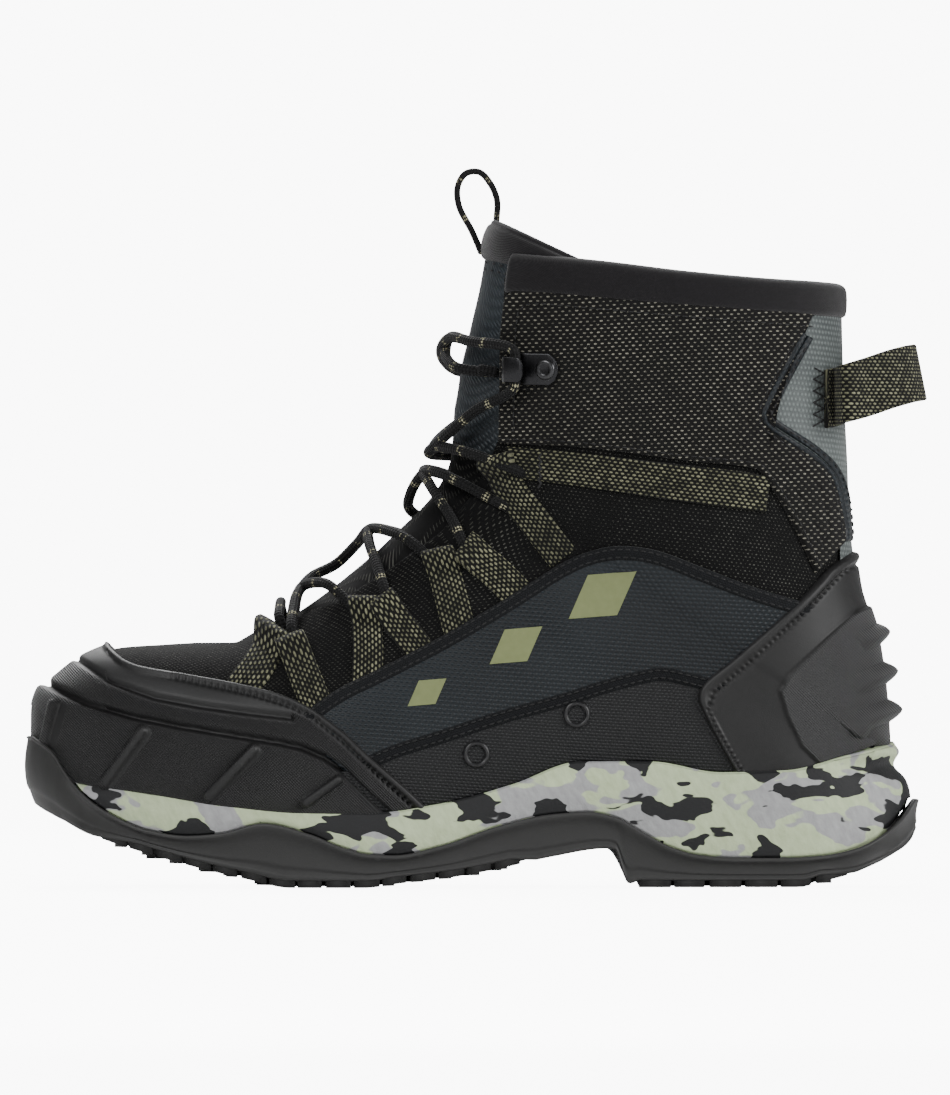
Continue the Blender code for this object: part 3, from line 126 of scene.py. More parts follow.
SECTIONS = (
    (0.013, -0.004, 0.013, 0.140, 0.000, 0.070, 0.070, 0.985, 0.30, 2.5),
    (0.017, -0.005, 0.018, 0.165, 0.090, 0.070, 0.070, 0.985, 0.30, 2.5),
    (0.030, -0.008, 0.037, 0.196, 0.183, 0.065, 0.070, 0.985, 0.30, 2.6),
    (0.057, -0.015, 0.068, 0.236, 0.277, 0.060, 0.070, 0.985, 0.30, 2.6),
    (0.096, -0.023, 0.105, 0.258, 0.356, 0.050, 0.070, 0.98, 0.30, 2.5),
    (0.157, -0.039, 0.159, 0.265, 0.426, 0.035, 0.070, 0.965, 0.28, 2.4),
    (0.231, -0.062, 0.219, 0.273, 0.475, 0.015, 0.065, 0.96, 0.25, 2.2),
    (0.309, -0.076, 0.273, 0.310, 0.500, -0.005, 0.060, 0.95, 0.22, 2.1),
    (0.388, -0.078, 0.319, 0.361, 0.495, -0.020, 0.050, 0.94, 0.22, 2.0),
    (0.467, -0.059, 0.358, 0.415, 0.465, -0.030, 0.045, 0.925, 0.25, 2.0),
    (0.546, -0.021, 0.390, 0.464, 0.430, -0.035, 0.040, 0.90, 0.28, 2.0),
    (0.624, 0.026, 0.417, 0.511, 0.406, -0.030, 0.035, 0.88, 0.32, 2.0),
    (0.703, 0.026, 0.438, 0.547, 0.391, -0.025, 0.030, 0.886, 0.36, 2.0),
    (0.782, 0.004, 0.454, 0.580, 0.382, -0.015, 0.025, 0.90, 0.38, 2.0),
    (0.855, 0.008, 0.464, 0.609, 0.376, -0.005, 0.020, 0.87, 0.40, 2.05),
    (0.911, 0.034, 0.470, 0.633, 0.374, 0.000, 0.015, 0.72, 0.42, 2.1),
    (0.945, 0.053, 0.473, 0.656, 0.374, 0.000, 0.010, 0.44, 0.42, 2.15),
    (0.961, 0.065, 0.474, 0.678, 0.376, 0.000, 0.005, 0.00, 0.42, 2.2),
    (0.957, 0.173, 0.475, 0.707, 0.380, 0.000, 0.000, 0.00, 0.43, 2.2),
    (0.948, 0.285, 0.476, 0.743, 0.386, 0.000, 0.000, 0.00, 0.44, 2.2),
    (0.935, 0.398, 0.480, 0.786, 0.393, 0.000, 0.000, 0.00, 0.46, 2.25),
    (0.927, 0.520, 0.484, 0.835, 0.405, 0.000, 0.000, 0.00, 0.48, 2.3),
    (0.924, 0.653, 0.491, 0.888, 0.420, 0.000, 0.000, 0.00, 0.50, 2.3),
    (0.920, 0.795, 0.498, 0.943, 0.438, 0.000, 0.000, 0.00, 0.50, 2.3),
    (0.918, 0.946, 0.505, 0.998, 0.455, 0.000, 0.000, 0.00, 0.50, 2.3),
    (0.917, 1.046, 0.512, 1.071, 0.465, 0.000, 0.000, 0.00, 0.50, 2.3),
    (0.916, 1.142, 0.518, 1.142, 0.470, 0.000, 0.000, 0.00, 0.50, 2.3),
)
LAST_STATION = len(SECTIONS) - 1
THROAT = ((0.236, 0.268), (0.253, 0.287), (0.267, 0.302), (0.309, 0.322), (0.360, 0.361),
          (0.416, 0.426), (0.467, 0.491), (0.501, 0.561), (0.523, 0.632), (0.535, 0.683),
          (0.538, 0.867), (0.540, 0.989), (0.541, 1.30))


def smooth_line(xs, ys, at):
    """Monotone cubic y(x) through the points (xs, ys): Hermite basis with harmonic-mean slopes."""
    xs, ys, at = (np.asarray(a, dtype=float) for a in (xs, ys, at))
    step = np.diff(xs)
    slope = np.diff(ys) / step
    same = slope[:-1] * slope[1:] > 0.0
    first, second = 2.0 * step[1:] + step[:-1], step[1:] + 2.0 * step[:-1]
    safe = np.where(same, slope[:-1], 1.0), np.where(same, slope[1:], 1.0)
    tangent = np.zeros_like(ys)
    tangent[1:-1] = np.where(same, (first + second) / (first / safe[0] + second / safe[1]), 0.0)
    tangent[0], tangent[-1] = slope[0], slope[-1]
    at = np.clip(at, xs[0], xs[-1])
    cell = np.clip(np.searchsorted(xs, at, side="right") - 1, 0, len(xs) - 2)
    width = step[cell]
    t = (at - xs[cell]) / width
    return (ys[cell] * (1.0 + 2.0 * t) * (1.0 - t) ** 2 + ys[cell + 1] * t ** 2 * (3.0 - 2.0 * t)
            + width * t * (1.0 - t) * (tangent[cell] * (1.0 - t) - tangent[cell + 1] * t))


FINE = np.linspace(0.0, LAST_STATION, 200 * LAST_STATION + 1)
COLUMNS = {name: smooth_line(range(len(SECTIONS)), [row[i] for row in SECTIONS], FINE)
           for i, name in enumerate(SECTION_COLUMNS)}


def column(name, station):
    """A named column of the section table at a station."""
    return np.interp(station, FINE, COLUMNS[name])


def x_at(along):
    """X of a place counted from the toe as a share of the sole's length."""
    return (np.asarray(along) - HEEL_CENTRE) * SOLE_LENGTH


def z_at(up):
    """Z of a place counted from the sole's top as a share of the shaft's height."""
    return SOLE_HEIGHT + np.asarray(up) * SHAFT_HEIGHT


def last_point(station, girth, side):
    """Point of the boot's smooth outer face.

    A section is the straight side-view line base(s) to ridge(s). With angle a = pi |g - 1/2|,
    rise^p + reach^p = 1 along (sin a, cos a); the height share is w (1 - rise) below the widest
    share w and w + (1 - w) rise above it; the half width is half(s) times reach, filled below
    to (fill^p + (1 - fill^p) reach^p)^(1/p).
    """
    station, girth = np.broadcast_arrays(np.asarray(station, float), np.asarray(girth, float))
    power, widest = column("roundness", station), column("widest", station)
    fill = np.maximum(column("base_fill", station), 0.0)
    angle = math.pi * np.abs(girth - 0.5)
    rise, reach = np.sin(angle), np.clip(np.cos(angle), 0.0, 1.0)
    reach = np.where(reach < 1e-9, 0.0, reach)
    size = (rise ** power + reach ** power) ** (1.0 / power)
    rise, reach = rise / size, reach / size
    lower = girth < 0.5
    share = np.where(lower, widest * (1.0 - rise), widest + (1.0 - widest) * rise)
    filled = (fill ** power + (1.0 - fill ** power) * reach ** power) ** (1.0 / power)
    along = column("base_along", station) * (1.0 - share) + column("ridge_along", station) * share
    up = column("base_up", station) * (1.0 - share) + column("ridge_up", station) * share
    shift = column("base_shift", station) * (1.0 - share) + column("ridge_shift", station) * share
    y = UPPER_WIDTH * (shift + side * np.where(lower, filled, reach) * column("half", station))
    return np.stack((x_at(along), y, z_at(up)), axis=-1)


def place_on(station, girth, side, lift=0.0):
    """Point lifted from the boot's face: P + lift n, with n the cross product of P's slopes."""
    s0, s1 = np.clip(station - 0.02, 0.0, LAST_STATION), np.clip(station + 0.02, 0.0, LAST_STATION)
    g0, g1 = np.clip(girth - 0.004, 0.0, 1.0), np.clip(girth + 0.004, 0.0, 1.0)
    along = last_point(s1, girth, side) - last_point(s0, girth, side)
    over = last_point(station, g1, side) - last_point(station, g0, side)
    out = np.cross(along, over) * (1.0 if side < 0 else -1.0)
    out /= np.maximum(np.linalg.norm(out, axis=-1), 1e-15)[..., None]
    flat = (np.asarray(girth) > 0.9999) | ((np.asarray(girth) < 1e-4) & (np.asarray(station) > 17.0))
    out[..., 1] = np.where(flat, 0.0, out[..., 1])
    out /= np.maximum(np.linalg.norm(out, axis=-1), 1e-15)[..., None]
    return last_point(station, girth, side) + out * np.asarray(lift)[..., None]


def station_girth(x, z):
    """Station and girth of a side-view place: bisect for its section line, then undo the height share."""
    x, z = np.broadcast_arrays(np.asarray(x, float), np.asarray(z, float))
    low, high = np.zeros(x.shape), np.full(x.shape, float(LAST_STATION))
    for _ in range(32):
        station = 0.5 * (low + high)
        bx, bz = x_at(column("base_along", station)), z_at(column("base_up", station))
        wx, wz = x_at(column("ridge_along", station)) - bx, z_at(column("ridge_up", station)) - bz
        ahead = wx * (z - bz) - wz * (x - bx) < 0.0
        low, high = np.where(ahead, station, low), np.where(ahead, high, station)
    share = np.clip(((x - bx) * wx + (z - bz) * wz) / np.maximum(wx * wx + wz * wz, 1e-12), 0.0, 1.0)
    widest, power = column("widest", station), column("roundness", station)
    lower = share < widest
    rise = np.where(lower, 1.0 - share / widest, (share - widest) / (1.0 - widest))
    reach = np.maximum(1.0 - rise ** power, 0.0) ** (1.0 / power)
    angle = np.arctan2(rise, reach) / math.pi
    return station, np.where(lower, 0.5 - angle, 0.5 + angle)


def riding_object(name, mesh, material, mend):
    """Object of a mesh on the root body: doubles welded, mended by one more step, shaded smooth."""
    form = bmesh.new()
    form.from_mesh(mesh)
    bmesh.ops.remove_doubles(form, verts=form.verts, dist=WELD)
    mend(form)
    for face in form.faces:
        face.smooth = True
    form.to_mesh(mesh)
    form.free()
    obj = bpy.data.objects.new(name, mesh)
    scene.collection.objects.link(obj)
    mesh.materials.append(material)
    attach(obj, "root")
    return obj


def drop_slivers(form):
    """Take away edges and faces of no size, as at poles and welded seams."""
    bmesh.ops.dissolve_degenerate(form, edges=form.edges, dist=1e-7)


def face_outwards(form):
    """Turn the faces of closed bodies outwards."""
    bmesh.ops.recalc_face_normals(form, faces=form.faces)


def mesh_piece(name, grids, material, nodes=(), flip=False):
    """Object from grids of points (n, m, 3), each with its own UV grid (n, m, 2), welded where they meet.

    A grid's third part says whether its faces are turned over, and flip turns all of them.
    """
    verts, faces, uvs, start = [], [], [], 0
    for points, uv, turned in grids:
        n, m = points.shape[:2]
        ids = np.arange(n * m).reshape(n, m) + start
        quads = np.stack((ids[:-1, :-1], ids[1:, :-1], ids[1:, 1:], ids[:-1, 1:]), axis=-1).reshape(-1, 4)
        faces.append(quads[:, ::-1] if turned != flip else quads)
        verts.append(points.reshape(-1, 3))
        uvs.append(uv.reshape(-1, 2))
        start += n * m
    verts, faces, uvs = np.concatenate(verts), np.concatenate(faces), np.concatenate(uvs)
    mesh = bpy.data.meshes.new(name)
    mesh.from_pydata(verts.tolist(), [], faces.tolist())
    layer = mesh.uv_layers.new(name="UVMap")
    layer.data.foreach_set("uv", uvs[faces.ravel()].ravel())
    obj = riding_object(name, mesh, material, drop_slivers)
    if nodes:
        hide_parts(*nodes)
    return obj


class Look:
    """Material written as nodes: every method adds one node and gives back its output."""

    def __init__(self, name, roughness=0.8, metallic=0.0, sheen=0.0, coat=0.0, specular=0.5):
        self.material = bpy.data.materials.new(name)
        self.material.use_nodes = True
        self.tree = self.material.node_tree
        self.base = self.tree.nodes["Principled BSDF"]
        self.base.inputs["Roughness"].default_value = roughness
        self.base.inputs["Metallic"].default_value = metallic
        self.base.inputs["Sheen Weight"].default_value = sheen
        self.base.inputs["Sheen Roughness"].default_value = 0.5
        self.base.inputs["Coat Weight"].default_value = coat
        self.base.inputs["Coat Roughness"].default_value = 0.3
        self.base.inputs["Specular IOR Level"].default_value = specular

    def put(self, socket, value):
        """Set a socket to a constant, or link an output to it."""
        if isinstance(value, (int, float)):
            socket.default_value = value
        elif isinstance(value, tuple):
            socket.default_value = value if len(value) == len(socket.default_value) else value + (1.0,)
        else:
            self.tree.links.new(value, socket)

    def node(self, kind, inputs=(), output=0, **settings):
        """Add a shader node with its inputs and settings."""
        node = self.tree.nodes.new("ShaderNode" + kind)
        for key, value in settings.items():
            setattr(node, key, value)
        for key, value in dict(inputs).items():
            self.put(node.inputs[key], value)
        return node.outputs[output]

    def math(self, operation, a, b=0.0, c=0.0):
        """Arithmetic on up to three values."""
        return self.node("Math", {0: a, 1: b, 2: c}, operation=operation)

    def uv(self, scale=(1.0, 1.0), turn=0.0):
        """The piece's own UV, in metres, turned and scaled: one unit is one repeat."""
        raw = self.node("UVMap", uv_map="UVMap")
        turned = self.node("Mapping", {"Vector": raw, "Rotation": (0.0, 0.0, turn)})
        return self.node("Mapping", {"Vector": turned, "Scale": (scale[0], scale[1], 1.0)})

    def split(self, vector):
        """First two parts of a vector."""
        node = self.tree.nodes.new("ShaderNodeSeparateXYZ")
        self.tree.links.new(vector, node.inputs[0])
        return node.outputs[0], node.outputs[1]

    def noise(self, vector, scale, detail=3.0, rough=0.5):
        """Noise with a scale in repeats per metre."""
        settings = {"Vector": vector, "Scale": scale, "Detail": detail, "Roughness": rough}
        return self.node("TexNoise", settings)

    def place(self):
        """Object coordinates, in metres."""
        return self.node("TexCoord", output=3)

    def ramp(self, value, *stops):
        """Colour ramp through stops of a place and a grey value or a colour."""
        node = self.tree.nodes.new("ShaderNodeValToRGB")
        self.tree.links.new(value, node.inputs[0])
        ramp = node.color_ramp
        while len(ramp.elements) < len(stops):
            ramp.elements.new(0.5)
        for element, (at, colour) in zip(ramp.elements, stops):
            element.position = at
            element.color = colour + (1.0,) if isinstance(colour, tuple) else (colour, colour, colour, 1.0)
        return node.outputs[0]

    def mix(self, factor, a, b):
        """Blend of two colours by a factor."""
        node = self.tree.nodes.new("ShaderNodeMix")
        node.data_type = "RGBA"
        self.put(node.inputs[0], factor)
        self.put(node.inputs[6], a)
        self.put(node.inputs[7], b)
        return node.outputs[2]

    def finish(self, colour, height=None, depth=0.0004, roughness=None):
        """Put on the colour, the bump of a height field of a depth in metres, and the roughness."""
        self.put(self.base.inputs["Base Color"], colour)
        if roughness is not None:
            self.put(self.base.inputs["Roughness"], roughness)
        if height is not None:
            bump = self.node("Bump", {"Height": height, "Distance": depth, "Strength": 1.0})
            self.tree.links.new(bump, self.base.inputs["Normal"])
        return self.material


def weave(name, pitch, ground, dot, dot_half, turn=0.0, relief=0.0003, vary=0.35, shade=0.35, sheen=0.06,
          roughness=0.85, warp=0.0):
    """Woven cloth: staggered floats of light yarn over a dark ground, on a grid of pitch (p, q) metres.

    In row j = floor(v / q) the floats stand at u = (i + 1/2 + j/2) p. A float is lit where
    (du / a)^2 + (dv / b)^2 < 1, with half axes (a, b) that vary from float to float. Shade is how
    much darker patches of the cloth are, and warp how far its rows wander, in metres.
    """
    look = Look(name, roughness=roughness, sheen=sheen, specular=0.22)
    place = look.uv((1.0, 1.0), turn)
    if warp:
        bend = look.node("TexNoise", {"Vector": look.place(), "Scale": 22.0, "Detail": 1.0}, output=1)
        bend = look.node("VectorMath", {0: bend, 1: (0.5, 0.5, 0.5)}, operation="SUBTRACT")
        bend = look.node("VectorMath", {0: bend, "Scale": warp}, operation="SCALE")
        place = look.node("VectorMath", {0: place, 1: bend}, operation="ADD")
    u, v = look.split(place)
    v = look.math("DIVIDE", v, pitch[1])
    row = look.math("FLOOR", v)
    u = look.math("ADD", look.math("DIVIDE", u, pitch[0]), look.math("MULTIPLY", row, 0.5))
    du = look.math("MULTIPLY", look.math("SUBTRACT", look.math("FRACT", u), 0.5), pitch[0] / dot_half[0])
    dv = look.math("MULTIPLY", look.math("SUBTRACT", look.math("FRACT", v), 0.5), pitch[1] / dot_half[1])
    far = look.math("SQRT", look.math("ADD", look.math("MULTIPLY", du, du), look.math("MULTIPLY", dv, dv)))
    cell = look.node("CombineXYZ", {0: look.math("FLOOR", u), 1: row})
    chance = look.node("TexWhiteNoise", {"Vector": cell}, noise_dimensions="3D")
    size = look.math("MULTIPLY_ADD", chance, vary, 1.0 - 0.5 * vary)
    within = look.math("SUBTRACT", size, far)
    on = look.node("MapRange", {"Value": within, "From Min": -0.15, "From Max": 0.25})
    patch = look.ramp(look.noise(look.place(), 38.0, 2.0), (0.30, 1.0 - shade), (0.68, 1.0))
    yarn = look.math("MULTIPLY_ADD", chance, 0.6, 0.4)
    bright = look.math("MULTIPLY", on, look.math("MULTIPLY", patch, yarn))
    lit = look.mix(bright, ground, dot)
    bulge = look.math("SUBTRACT", 1.0, look.math("MINIMUM", far, 1.6))
    return look.finish(lit, bulge, relief)


black_mesh = weave("black_mesh_look", (0.00190, 0.00125), (0.0020, 0.0020, 0.0021), (0.13, 0.13, 0.115),
                   (0.00036, 0.00024), turn=0.10, shade=0.80, warp=0.0010, sheen=0.0)


def section_lines(stations, cells=1200):
    """Side-view places (x, z) along each station's section line, from its base to its ridge."""
    share = np.linspace(0.0, 1.0, cells + 1)[None, :]
    s = np.asarray(stations, float)[:, None]
    x = x_at(column("base_along", s) * (1.0 - share) + column("ridge_along", s) * share)
    z = z_at(column("base_up", s) * (1.0 - share) + column("ridge_up", s) * share)
    return x, z


def first_girth(x, z, wanted):
    """Girth of the first wanted place on each section line, or 1 on a line that has none."""
    last = x.shape[1] - 1
    first = np.where(wanted.any(axis=1), wanted.argmax(axis=1), last)
    rows = np.arange(len(first))
    _, girth = station_girth(x[rows, first], z[rows, first])
    return np.where(first >= last, 1.0, girth)


def throat_girth(stations):
    """Girth at which each section line crosses the throat's edge."""
    edge_along, edge_up = np.array(THROAT).T
    x, z = section_lines(stations)
    inside = (z >= z_at(edge_up[0])) & (x < np.interp(z, z_at(edge_up), x_at(edge_along)))
    return first_girth(x, z, inside)


def arc_uv(points, foot=1.0):
    """UV of a grid, with the run across counted from its widest place.

    In the foot v is z plus the run, and in the shaft u is x less the run.
    """
    step = np.abs(np.diff(points[..., 1], axis=1))
    run = np.concatenate((np.zeros((len(points), 1)), np.cumsum(step, axis=1)), axis=1)
    widest = np.abs(points[..., 1]).argmax(axis=1)
    run = run - run[np.arange(len(run)), widest][:, None]
    foot = np.broadcast_to(np.reshape(foot, (-1, 1)), run.shape)
    return np.stack((points[..., 0] - run * (1.0 - foot), points[..., 2] + run * foot), axis=-1)


stations = np.concatenate((np.linspace(0.0, 6.0, 120, endpoint=False), np.linspace(6.0, 24.3, 330)))
edge = throat_girth(stations)
kernel = np.array((1, 2, 3, 2, 1)) / 9.0
open_rows = edge < 0.9999
smooth_edge = np.convolve(np.pad(edge, 2, mode="edge"), kernel, mode="valid")
edge = np.where(open_rows, np.minimum(smooth_edge, 0.999), 1.0)
t = np.linspace(0.0, 1.0, 91)[None, :]
grids = []
for side in SIDES:
    girth = edge[:, None] * t
    outer = place_on(stations[:, None] + 0.0 * girth, girth, side, 0.0 * girth)
    inner = place_on(stations[:, None] + 0.0 * girth, girth, side, 0.0 * girth - WALL)
    turned = side > 0
    in_foot = np.clip((16.0 - stations) / 5.0, 0.0, 1.0)
    grids.append((outer, arc_uv(outer, in_foot), turned))
    grids.append((inner[:, ::-1], arc_uv(inner, in_foot)[:, ::-1], turned))
    roll = []
    for angle in np.linspace(0.0, math.pi, 7):
        lift = -0.5 * WALL + 0.5 * WALL * math.cos(angle)
        bulge = 0.006 * math.sin(angle)
        roll.append(place_on(stations, np.minimum(edge + bulge * open_rows, 1.0), side, 0.0 * edge + lift))
    roll = np.stack(roll, axis=1)[open_rows]
    grids.append((roll, arc_uv(roll), turned))
mesh_piece("upper_shell", grids, black_mesh, ("upper",))

# Tongue: a padded sheet behind the lace, neoprene at its top, a coated face above the vamp.
TONGUE_BACK = ((0.262, 0.262), (0.330, 0.28), (0.430, 0.345), (0.510, 0.44), (0.580, 0.56),
               (0.630, 0.70), (0.652, 0.90), (0.654, 0.985), (0.642, 1.022), (0.619, 1.046))
TONGUE_THICKNESS = 0.0032


def resampled(line, count):
    """A line's points at equal runs."""
    run = np.concatenate(((0.0,), np.cumsum(np.linalg.norm(np.diff(line, axis=0), axis=1))))
    at = np.linspace(0.0, run[-1], count)
    return np.stack([np.interp(at, run, line[:, k]) for k in range(line.shape[1])], axis=1)


def rounded(line, cells=12):
    """A side-view line of (along, up) as metres (x, z), with a Catmull-Rom curve through its points."""
    line = np.asarray(line, dtype=float)
    line = np.stack((x_at(line[:, 0]), z_at(line[:, 1])), axis=1)
    before = np.vstack((2 * line[0] - line[1], line[:-1]))[:-1]
    after = np.vstack((line[1:], 2 * line[-1] - line[-2]))[1:]
    start, end = line[:-1], line[1:]
    parts = []
    for t in np.arange(cells) / cells:
        parts.append(0.5 * (2 * start + (end - before) * t
                            + (2 * before - 5 * start + 4 * end - after) * t ** 2
                            + (3 * start - before - 3 * end + after) * t ** 3))
    return np.vstack((np.stack(parts, axis=1).reshape(-1, 2), line[-1:]))


def ridge_line(first, last, count):
    """Side-view line (x, z) along the boot's front and top, between two stations."""
    s = np.linspace(first, last, count)
    return np.stack((x_at(column("ridge_along", s)), z_at(column("ridge_up", s))), axis=1)


neoprene = weave("neoprene_look", (0.00060, 0.00042), (0.0052, 0.0045, 0.0054), (0.012, 0.0105, 0.0125),
                 (0.00024, 0.00015), relief=0.00006, sheen=0.25, roughness=0.95, shade=0.4)
rows = 220
front = resampled(ridge_line(6.6, 25.85, 400), rows)
back = resampled(rounded(TONGUE_BACK), rows)
w = np.linspace(0.0, 1.0, 44)[None, :]
x = front[:, :1] * (1.0 - w ** 2) + back[:, :1] * w ** 2
z = front[:, 1:] * (1.0 - w ** 2) + back[:, 1:] * w ** 2
s, g = station_girth(x, z)
g[:, 0] = 1.0
s_tongue, g_tongue, x_tongue, z_tongue = s, g, x, z
seam_row = int(np.argmin(np.abs(front[:, 1] - z_at(1.058))))
mesh_row = int(np.argmin(np.abs(front[:, 1] - z_at(0.683))))
above_seam = (np.arange(rows) - seam_row)[:, None] / (rows - 1.0 - seam_row)
pillow = 0.0024 * np.sqrt(np.clip(np.sin(math.pi * np.clip(above_seam, 0.0, 1.0) ** 0.8), 0.0, 1.0))
grids = []
for side in SIDES:
    rim = np.minimum(1.0 - w, 1.0) / 0.10
    soft = 0.0006 * np.sqrt(np.clip(rim, 0.0, 1.0)) + pillow
    outer = place_on(s, g, side, -WALL - 0.0010 + soft + 0.0 * g)
    inner = place_on(s, g, side, -WALL - TONGUE_THICKNESS - 0.6 * soft)
    turned = side < 0
    grids.append((outer, arc_uv(outer), turned))
    grids.append((inner[:, ::-1], arc_uv(inner)[:, ::-1], turned))
    strip = np.stack([outer[:, -1] * (1 - k) + inner[:, -1] * k for k in np.linspace(0, 1, 5)], axis=1)
    grids.append((strip, arc_uv(strip), turned))
    top_out, top_in = outer[-1], inner[-1]
    strip = []
    for angle in np.linspace(0.0, math.pi, 9):
        middle = 0.5 * (top_out + top_in) + 0.5 * (top_out - top_in) * math.cos(angle)
        strip.append(middle + np.array((0.0, 0.0, 0.0014)) * math.sin(angle))
    strip = np.stack(strip, axis=0)
    grids.append((strip, strip[..., :2], turned))
tongue_pad = mesh_piece("tongue_pad", grids, neoprene, ("tongue",))

# Toe cap: one moulded rubber shell, bonded over the toe, with a proud rim, two long grooves,
# four slanted ribs and a fine hatch moulded in below the upper groove.
TOE_RIM = ((0.066, 0.37), (0.080, 0.325), (0.091, 0.269), (0.099, 0.244), (0.125, 0.216),
           (0.187, 0.196), (0.271, 0.169), (0.317, 0.138), (0.357, 0.089), (0.386, 0.040),
           (0.447, -0.057), (0.500, -0.160))
CAP_THICKNESS = 0.0020


def shares(*points):
    """Side-view places from (along, up) pairs written in thousandths of the sole and the shaft."""
    return [(a / 1000.0, u / 1000.0) for a, u in points]


def side_line(line):
    """A side-view line of (along, up) as metres (x, z), straight between its points."""
    line = np.asarray(line, float)
    return np.stack((x_at(line[:, 0]), z_at(line[:, 1])), axis=1)


def distance(x, z, line):
    """Shortest side-view distance from places to a polyline, and the share of its run where it is met."""
    best, where = np.full(x.shape, 9.0), np.zeros(x.shape)
    line = line[np.concatenate(((True,), np.linalg.norm(np.diff(line, axis=0), axis=1) > 1e-7))]
    lengths = np.linalg.norm(np.diff(line, axis=0), axis=1)
    total, gone = lengths.sum(), 0.0
    for a, b, size in zip(line[:-1], line[1:], lengths):
        way = (b - a) / size
        t = np.clip((x - a[0]) * way[0] + (z - a[1]) * way[1], 0.0, size)
        d = np.hypot(x - a[0] - way[0] * t, z - a[1] - way[1] * t)
        where = np.where(d < best, (gone + t) / total, where)
        best = np.minimum(best, d)
        gone += size
    return best, where


def x_on_line(line, z):
    """X of a rising or falling side-view line at each height."""
    order = np.argsort(line[:, 1])
    return np.interp(z, line[order, 1], line[order, 0])


def even_rows(s, girth, rows):
    """Stations at which rim and base together move on by equal runs, up to where the rim meets the base."""
    keep = girth > 1e-3
    s, girth = s[keep], girth[keep]
    ends = [last_point(s, girth, -1.0)[:, [0, 2]], last_point(s, 0.0 * s, -1.0)[:, [0, 2]]]
    move = sum(np.linalg.norm(np.diff(end, axis=0), axis=1) for end in ends) + 0.06 * np.abs(np.diff(girth))
    run = np.concatenate(((0.0,), np.cumsum(move)))
    at = np.linspace(0.0, run[-1], rows)
    return np.interp(at, run, s), np.interp(at, run, girth)


def rolled(distance_in, radius):
    """Height share of a rolled edge: a quarter round over the radius."""
    t = np.clip(distance_in / radius, 0.0, 1.0)
    return np.sqrt(np.clip(1.0 - (1.0 - t) ** 2, 0.0, 1.0))


def rubber(name, ground, hatch_mask=None, roughness=0.52, panel=1.0, groove_shade_mask=None):
    """Moulded rubber: fine grain, dull patches, painted highlights on pointed edges and painted shade in
    hollows.

    A hatch mask marks where fine slanted lines are moulded in and the rubber is painted paler by the panel
    factor as painted light, and a groove mask where it is painted nearly black as painted shade.
    """
    look = Look(name, roughness=roughness, specular=0.45)
    grain = look.noise(look.place(), 2600.0, 2.0)
    cloud = look.noise(look.place(), 45.0, 3.0)
    point = look.node("NewGeometry", output=7)
    # Pointed edges are painted lighter: a painted highlight along them.
    edge_highlight = look.ramp(point, (0.50, 0.0), (0.56, 0.5))
    colour = look.mix(look.math("MULTIPLY", cloud, 0.6), ground, tuple(1.5 * c for c in ground))
    colour = look.mix(edge_highlight, colour, tuple(min(1.0, 2.6 * c) for c in ground))
    # Concave hollows are painted darker: painted shade in them.
    hollow_shade = look.ramp(point, (0.43, 1.0), (0.49, 0.0))
    colour = look.mix(hollow_shade, colour, tuple(0.15 * c for c in ground))
    # Grooves are painted nearly black: painted shade in them.
    if groove_shade_mask:
        shade = look.node("Attribute", output=2, attribute_name=groove_shade_mask)
        colour = look.mix(shade, colour, tuple(0.10 * c for c in ground))
    rough = look.math("ADD", roughness - 0.06, look.math("MULTIPLY", cloud, 0.14))
    height = look.math("MULTIPLY", grain, 0.15)
    if hatch_mask:
        mask = look.node("Attribute", output=2, attribute_name=hatch_mask)
        # The hatched area is mixed towards the panel factor times the ground: on the heel, painted light on
        # the raised panel.
        panel_painted_light = look.mix(0.5, colour, tuple((2.0 * panel - 1.0) * c for c in ground))
        colour = look.mix(mask, colour, panel_painted_light)
        u, v = look.split(look.uv((1.0, 1.0)))
        tau = 2.0 * math.pi
        one = look.math("SINE", look.math("MULTIPLY", look.math("ADD", u, v), tau / 0.00105))
        two = look.math("SINE", look.math("MULTIPLY", look.math("SUBTRACT", u, v), tau / 0.00135))
        diamonds = look.math("MULTIPLY_ADD", two, 0.35, one)
        height = look.math("ADD", height, look.math("MULTIPLY", diamonds, look.math("MULTIPLY", mask, 0.55)))
    return look.finish(colour, height, 0.00035, rough)


def add_mask(obj, name, values):
    """A float attribute per vertex, read from a function of the vertices' places."""
    co = np.empty(3 * len(obj.data.vertices))
    obj.data.vertices.foreach_get("co", co)
    layer = obj.data.attributes.new(name, "FLOAT", "POINT")
    layer.data.foreach_set("value", values(co.reshape(-1, 3)).astype(np.float32))


toe_rim = rounded(TOE_RIM)
upper_groove = side_line(shares((40, 247), (48, 236), (98, 183), (147, 153), (198, 136), (248, 124),
                                (300, 114)))
main_groove = side_line(shares((10, 194), (20, 181), (72, 142), (123, 116), (173, 98), (223, 83), (286, 65),
                               (311, 55), (336, 36), (356, 12), (372, -17), (404, -70), (450, -145)))
rim_groove = side_line(shares((86, 262), (98, 234), (118, 214), (147, 200), (198, 180), (261, 157),
                              (298, 138), (323, 119), (359, 66), (400, -6), (432, -58), (480, -140)))
RIBS = (
    (shares((40, 138), (28, 59)), 0.0030),
    (shares((136, 86), (94, -15)), 0.0038),
    (shares((260, 48), (210, -40)), 0.0040),
    (shares((353, -9), (317, -53)), 0.0032),
)
rows, cols = 340, 120
s = np.linspace(0.0, 11.0, 2200)
x, z = section_lines(s)
crossing = first_girth(x, z, x > x_on_line(toe_rim, z))
s, crossing = even_rows(s, crossing, rows)
g = crossing[:, None] * np.linspace(0.0, 1.0, cols)[None, :]
s = s[:, None] + 0.0 * g
flat = last_point(s, g, -1.0)
